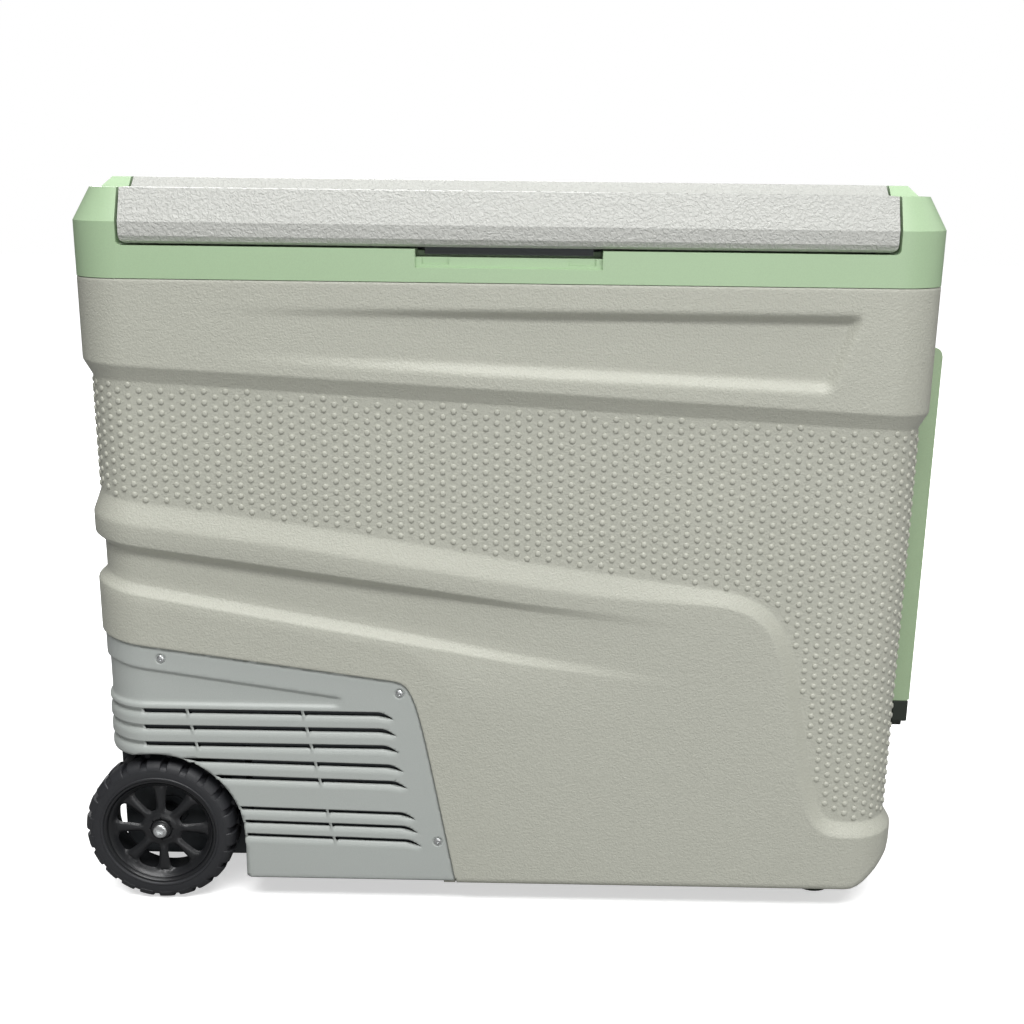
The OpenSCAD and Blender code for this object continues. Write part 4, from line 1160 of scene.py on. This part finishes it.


# dark sheet behind the slots: painted shade, a dark stand-in for the shaded inside of the body and the
# shell's corner post behind them, so no light shows through the slots
slotShadeShape = dict(
    inside=9.2, wall=1.2,
    upper=(-72.0, 148.5, 188.0),          # first x, lowest and highest point of the strip round the corner
    lower=(-60.0, -216.0, 58.0, 148.5),   # panel beside the wheel: both ends, lowest and highest point
    end=-140.0,                           # where the strip stops on the end of the body
)


def buildSlotShadeScreens():
    c = slotShadeShape
    r = shellShape["corner"] - c["inside"]
    cornerX = -halfLength + shellShape["corner"]
    cornerY = -halfDepth + shellShape["corner"]
    first, low, high = c["upper"]
    lowRight, lowLeft, lowFoot, lowTop = c["lower"]
    line = [(x, cornerY - r) for x in np.linspace(first, cornerX, 9)[:-1]]
    line += [(cornerX - r * math.sin(t), cornerY - r * math.cos(t)) for t in np.linspace(0, math.pi / 2, 13)]
    line += [(cornerX - r, y) for y in np.linspace(cornerY, c["end"], 3)[1:]]
    screens = []
    for tag, side in (("Front", -1), ("Rear", 1)):
        points = [(x, y, z) for z in (low, high) for x, y in line]
        count = len(line)
        faces = [(k, count + k, count + k + 1, k + 1) for k in range(count - 1)]
        points += [(x, cornerY - r, z) for x, z in ((lowRight, lowFoot), (lowRight, lowTop - 0.2),
                                                    (lowLeft, lowTop - 0.2), (lowLeft, lowFoot))]
        faces.append(tuple(range(2 * count, 2 * count + 4)))
        screen = makeMesh("dustScreen" + tag, points, faces, chassisPlastic)
        addModifier(screen, "SOLIDIFY", thickness=c["wall"] * mm, offset=0.0)
        bakeModifiers(screen)
        if side > 0:
            mirrorY(screen)
        screens.append(screen)
    screen = joinPieces("dustScreens", screens)
    screen.data.polygons.foreach_set("use_smooth", [True] * len(screen.data.polygons))
    flatShade(screen, 40)
    settle(screen, "root", "chassis_plastic")


def nearDistance(points, loop):
    a = np.asarray(loop, float)
    best = np.full(len(points), 1e9)
    for p, q in zip(a, np.roll(a, -1, axis=0)):
        d = q - p
        t = np.clip(((points - p) @ d) / max(d @ d, 1e-9), 0, 1)
        best = np.minimum(best, np.hypot(*(points - p - t[:, None] * d).T))
    return best


def buildWheel(tag, side):
    w = wheelShape
    low, high = nodeBox("wheel_hub_front")
    tyreLow, tyreHigh = nodeBox("tyre_front")
    centre = ((low[0] + high[0]) / 2, 0, (low[2] + high[2]) / 2)
    outer = (tyreHigh[2] - tyreLow[2]) / 2
    rim = w["rimRadius"]
    spokes = buildSpokes("spokes" + tag, centre)
    barrel = lathe("barrel" + tag, [
        (rim, w["face"] + 0.6), (rim - 0.5, w["face"]), (rim - 2.0, w["face"]), (rim - 2.6, w["face"] + 0.5),
        (rim - 4.2, w["face"] + 4), (rim - 4.6, w["face"] + 7), (rim - 4.8, -161), (rim - 4.2, -159.2),
        (rim - 1.6, -159.2), (rim - 1.6, -163), (rim - 1.7, -190)], centre, wheelPlastic)
    bore = lathe("bore" + tag, [
        (7.0, -187.6), (11.4, -187.0), (11.6, -163), (11.0, -162), (6.6, -162), (6.4, -163)],
        centre, wheelPlastic, 48)
    hub = joinPieces("wheelHub" + tag, [spokes, barrel, bore])
    tyre = lathe("tyreBody" + tag, [
        (rim + 0.1, -195.3), (rim + 0.9, -195.9), (rim + 2.0, -195.9), (rim + 2.6, -195.3), (57.5, -195.7),
        (59.4, -195.2), (61.4, -193.6), (62.4, -190.5), (62.8, -186), (62.8, -168), (62.4, -163.5),
        (61.4, -160.4), (59.4, -158.8), (57.5, -158.3), (rim + 0.9, -158.3), (rim + 0.1, -159),
        (rim - 1.4, -163.2), (rim - 1.4, -189.8)], centre, tyreRubber)
    lugs = []
    for row, flip in ((0, 1), (1, -1)):
        section = [(57.8, -195.8), (60.2, -195.4), (63.6, -193.4), (outer - 0.5, -190.2), (outer, -188.4),
                   (outer, -178.6), (outer - 0.5, -178.0), (61.5, -177.6)]
        if flip < 0:
            section = [(q, -354.2 - y) for q, y in section][::-1]
        turn = math.radians(w["lugTurn"])
        steps = 4
        points, faces = [], []
        offset = row * math.pi / w["lugs"]
        for k in range(steps + 1):
            a = offset - turn / 2 + turn * k / steps
            points += [(centre[0] + q * math.cos(a), y, centre[2] + q * math.sin(a)) for q, y in section]
        n = len(section)
        for k in range(steps):
            for i in range(n):
                j = (i + 1) % n
                faces.append((k * n + i, (k + 1) * n + i, (k + 1) * n + j, k * n + j))
        faces.append(tuple(range(n))[::-1])
        faces.append(tuple(range(steps * n, steps * n + n)))
        lug = makeMesh(f"lugs{tag}{row}", points, faces, tyreRubber)
        work = bmesh.new()
        work.from_mesh(lug.data)
        bmesh.ops.recalc_face_normals(work, faces=work.faces)
        sharp = [e for e in work.edges if e.calc_face_angle(0) > math.radians(60)]
        bmesh.ops.bevel(work, geom=sharp, offset=0.7 * mm, segments=1, affect="EDGES")
        work.to_mesh(lug.data)
        work.free()
        lugs.append(repeatRound(lug, w["lugs"], centre, tyreRubber))
    tyre = joinPieces("tyre" + tag, [tyre] + lugs)
    for piece in (hub, tyre):
        if side > 0:
            mirrorY(piece)
        piece.data.polygons.foreach_set("use_smooth", [True] * len(piece.data.polygons))
        flatShade(piece, 38)
    body = "wheel_front" if side < 0 else "wheel_rear"
    node = "front" if side < 0 else "rear"
    settle(hub, body, "wheel_plastic", "wheel_hub_" + node)
    settle(tyre, body, "tyre_rubber", "tyre_" + node)


def paintNodes():
    finishes = {
        chassisPlastic: ["fan_frame", "fan_rotor", "power_inlet", "lid_latch"],
        whitePlastic: ["inner_liner", "lid_inner"],
        foamFill: ["foam_insulation", "lid_foam"],
        sealRubber: ["lid_gasket", "compressor_grommets", "drain_plug"],
        gripRubber: ["rubber_feet"],
        keyPlastic: ["power_button", "mode_button", "up_button", "down_button"],
        boardLaminate: ["control_board"],
        enamelSteel: ["compressor"],
        wireCoating: ["basket_large", "basket_small"],
        lightLens: ["interior_light"],
        plugBrass: ["inlet_socket"],
        zincScrew: ["handle_pins", "lid_hinge_pins"],
        bareSteel: ["axle", "fan_motor"],
        zincSheet: ["bay_bulkhead"],
        copperTube: ["refrigerant_pipes", "filter_drier", "evaporator_tube", "condenser_coil"],
        finFoil: ["condenser_fins"],
        smokedGlass: ["display_window"],
    }
    for material, names in finishes.items():
        for name in names:
            if not nodes[name].material_slots:
                nodes[name].data.materials.append(material)
            for place in nodes[name].material_slots:
                place.material = material


# a normal lens a little above the lid, with its turns in degrees
cameraShape = dict(lens=44.396, sensor=36.0, place=(0.0168, -1.1894, 0.6223), pan=0.608, drop=14.729,
                   roll=0.710, farthest=50.0)


def buildCamera():
    c = cameraShape
    data = bpy.data.cameras.new("viewCamera")
    data.lens = c["lens"]
    data.sensor_width = c["sensor"]
    data.clip_end = c["farthest"]
    camera = bpy.data.objects.new("viewCamera", data)
    bpy.context.scene.collection.objects.link(camera)
    turn = (Matrix.Rotation(math.radians(c["pan"]), 4, "Z")
            @ Matrix.Rotation(math.radians(90 - c["drop"]), 4, "X")
            @ Matrix.Rotation(math.radians(c["roll"]), 4, "Z"))
    camera.matrix_world = Matrix.Translation(c["place"]) @ turn
    bpy.context.scene.camera = camera


def addLight(name, place, target, size, power, colour="#FFFFFF"):
    data = bpy.data.lights.new(name, "AREA")
    data.shape = "RECTANGLE"
    data.size, data.size_y = size
    data.energy = power
    data.color = toLinear(colour)[:3]
    light = bpy.data.objects.new(name, data)
    bpy.context.scene.collection.objects.link(light)
    light.location = place
    light.rotation_euler = (Vector(target) - Vector(place)).to_track_quat("-Z", "Y").to_euler()


def buildStudio():
    scene = bpy.context.scene
    scene.view_settings.view_transform = "Standard"
    world = bpy.data.worlds.new("studioWorld")
    scene.world = world
    world.use_nodes = True
    tree = world.node_tree
    tree.nodes.clear()
    ray = addNode(tree, "ShaderNodeLightPath")
    soft = addNode(tree, "ShaderNodeBackground", None, {"Color": (1, 1, 1, 1), "Strength": 0.12})
    plain = addNode(tree, "ShaderNodeBackground", None, {"Color": (1, 1, 1, 1), "Strength": 1.0})
    mixed = addNode(tree, "ShaderNodeMixShader", None,
                    {0: ray.outputs["Is Camera Ray"], 1: soft.outputs[0], 2: plain.outputs[0]})
    addNode(tree, "ShaderNodeOutputWorld", None, {"Surface": mixed.outputs[0]})
    floor = makeMesh("studioFloor", [(-9000, -9000, -0.4), (9000, -9000, -0.4), (9000, 9000, -0.4),
                                     (-9000, 9000, -0.4)], [(0, 1, 2, 3)], floorMaterial())
    addLight("keySoftbox", (0.2, -2.9, 4.2), (0, -0.1, 0.2), (4.2, 1.1), 204)
    addLight("overheadSoftbox", (0.0, -0.35, 2.5), (0, 0, 0.4), (2.2, 1.0), 26)
    addLight("frontSoftbox", (0.6, -2.6, 0.4), (0, 0, 0.15), (2.4, 0.8), 17)
    addLight("rearSoftbox", (-0.6, 2.6, 1.6), (0, 0, 0.3), (1.8, 1.4), 58)
    addLight("sideSoftbox", (2.6, 0.2, 1.4), (0, 0, 0.3), (1.4, 1.2), 5)


# paper floor: besides its lit paper, what the camera sees of it glows, a painted light that is weakest (0.55)
# within 0.5 m of the middle and full from 1.6 m out; light bouncing off it sees a mid grey instead
def floorMaterial():
    material = bpy.data.materials.new("paperSweep")
    material.use_nodes = True
    tree = material.node_tree
    tree.nodes.clear()
    ray = addNode(tree, "ShaderNodeLightPath")
    paper = addNode(tree, "ShaderNodeBsdfDiffuse", None, {"Color": toLinear("#F4F4F4")})
    place = addNode(tree, "ShaderNodeTexCoord").outputs["Object"]
    reach = addNode(tree, "ShaderNodeVectorMath", {"operation": "LENGTH"}, {0: place})
    level = addNode(tree, "ShaderNodeMapRange", None,
                    {"Value": reach.outputs["Value"], "From Min": 0.5, "From Max": 1.6, "To Min": 0.55})
    paintedFloorGlow = addNode(tree, "ShaderNodeEmission", None, {"Color": (1, 1, 1, 1), "Strength": level.outputs[0]})
    shown = addNode(tree, "ShaderNodeAddShader", None, {0: paper.outputs[0], 1: paintedFloorGlow.outputs[0]})
    bounce = addNode(tree, "ShaderNodeBsdfDiffuse", None, {"Color": toLinear("#868686")})
    mixed = addNode(tree, "ShaderNodeMixShader", None,
                    {0: ray.outputs["Is Camera Ray"], 1: bounce.outputs[0], 2: shown.outputs[0]})
    addNode(tree, "ShaderNodeOutputMaterial", None, {"Surface": mixed.outputs[0]})
    return material


def alongX(edge):
    a, b = edge.verts[0].co, edge.verts[1].co
    return abs(a.x - b.x) > 0.05 and abs(a.y - b.y) < 1e-4 and abs(a.z - b.z) < 1e-4


buildCamera()
buildStudio()
paintNodes()
buildBodyShell()
print("body shell done")
buildDots()
print("dots done")
buildVentCover("ventCoverFront", -1, "vent_cover_front")
buildVentCover("ventCoverRear", 1, "vent_cover_rear")
buildCoverScrews()
print("vent covers done")
buildWheel("Front", -1)
buildWheel("Rear", 1)
buildAxleScrews()
buildSlotShadeScreens()
buildNotchFloors()
print("wheels done")
softCopy("collar_frame", "collarFrame", greenPlastic, "root", "green_plastic", 0.9)
softCopy("lid_outer", "lidOuter", lidPlastic, "lid", "lid_plastic", 0.8, broad=alongX, broadWidth=2.2)
softCopy("tow_handle", "towHandle", handlePlastic, "handle", "green_plastic", 1.6)
softCopy("handle_grip", "handleGrip", gripRubber, "handle", "grip_rubber", 1.2)
softCopy("handle_brackets", "handleBrackets", handlePlastic, "root", "green_plastic", 0.8)
softCopy("base_chassis", "baseChassis", chassisPlastic, "root", "chassis_plastic", 0.8)
softCopy("control_bezel", "controlBezel", chassisPlastic, "root", "chassis_plastic", 0.7)
print("soft-edged pieces done")
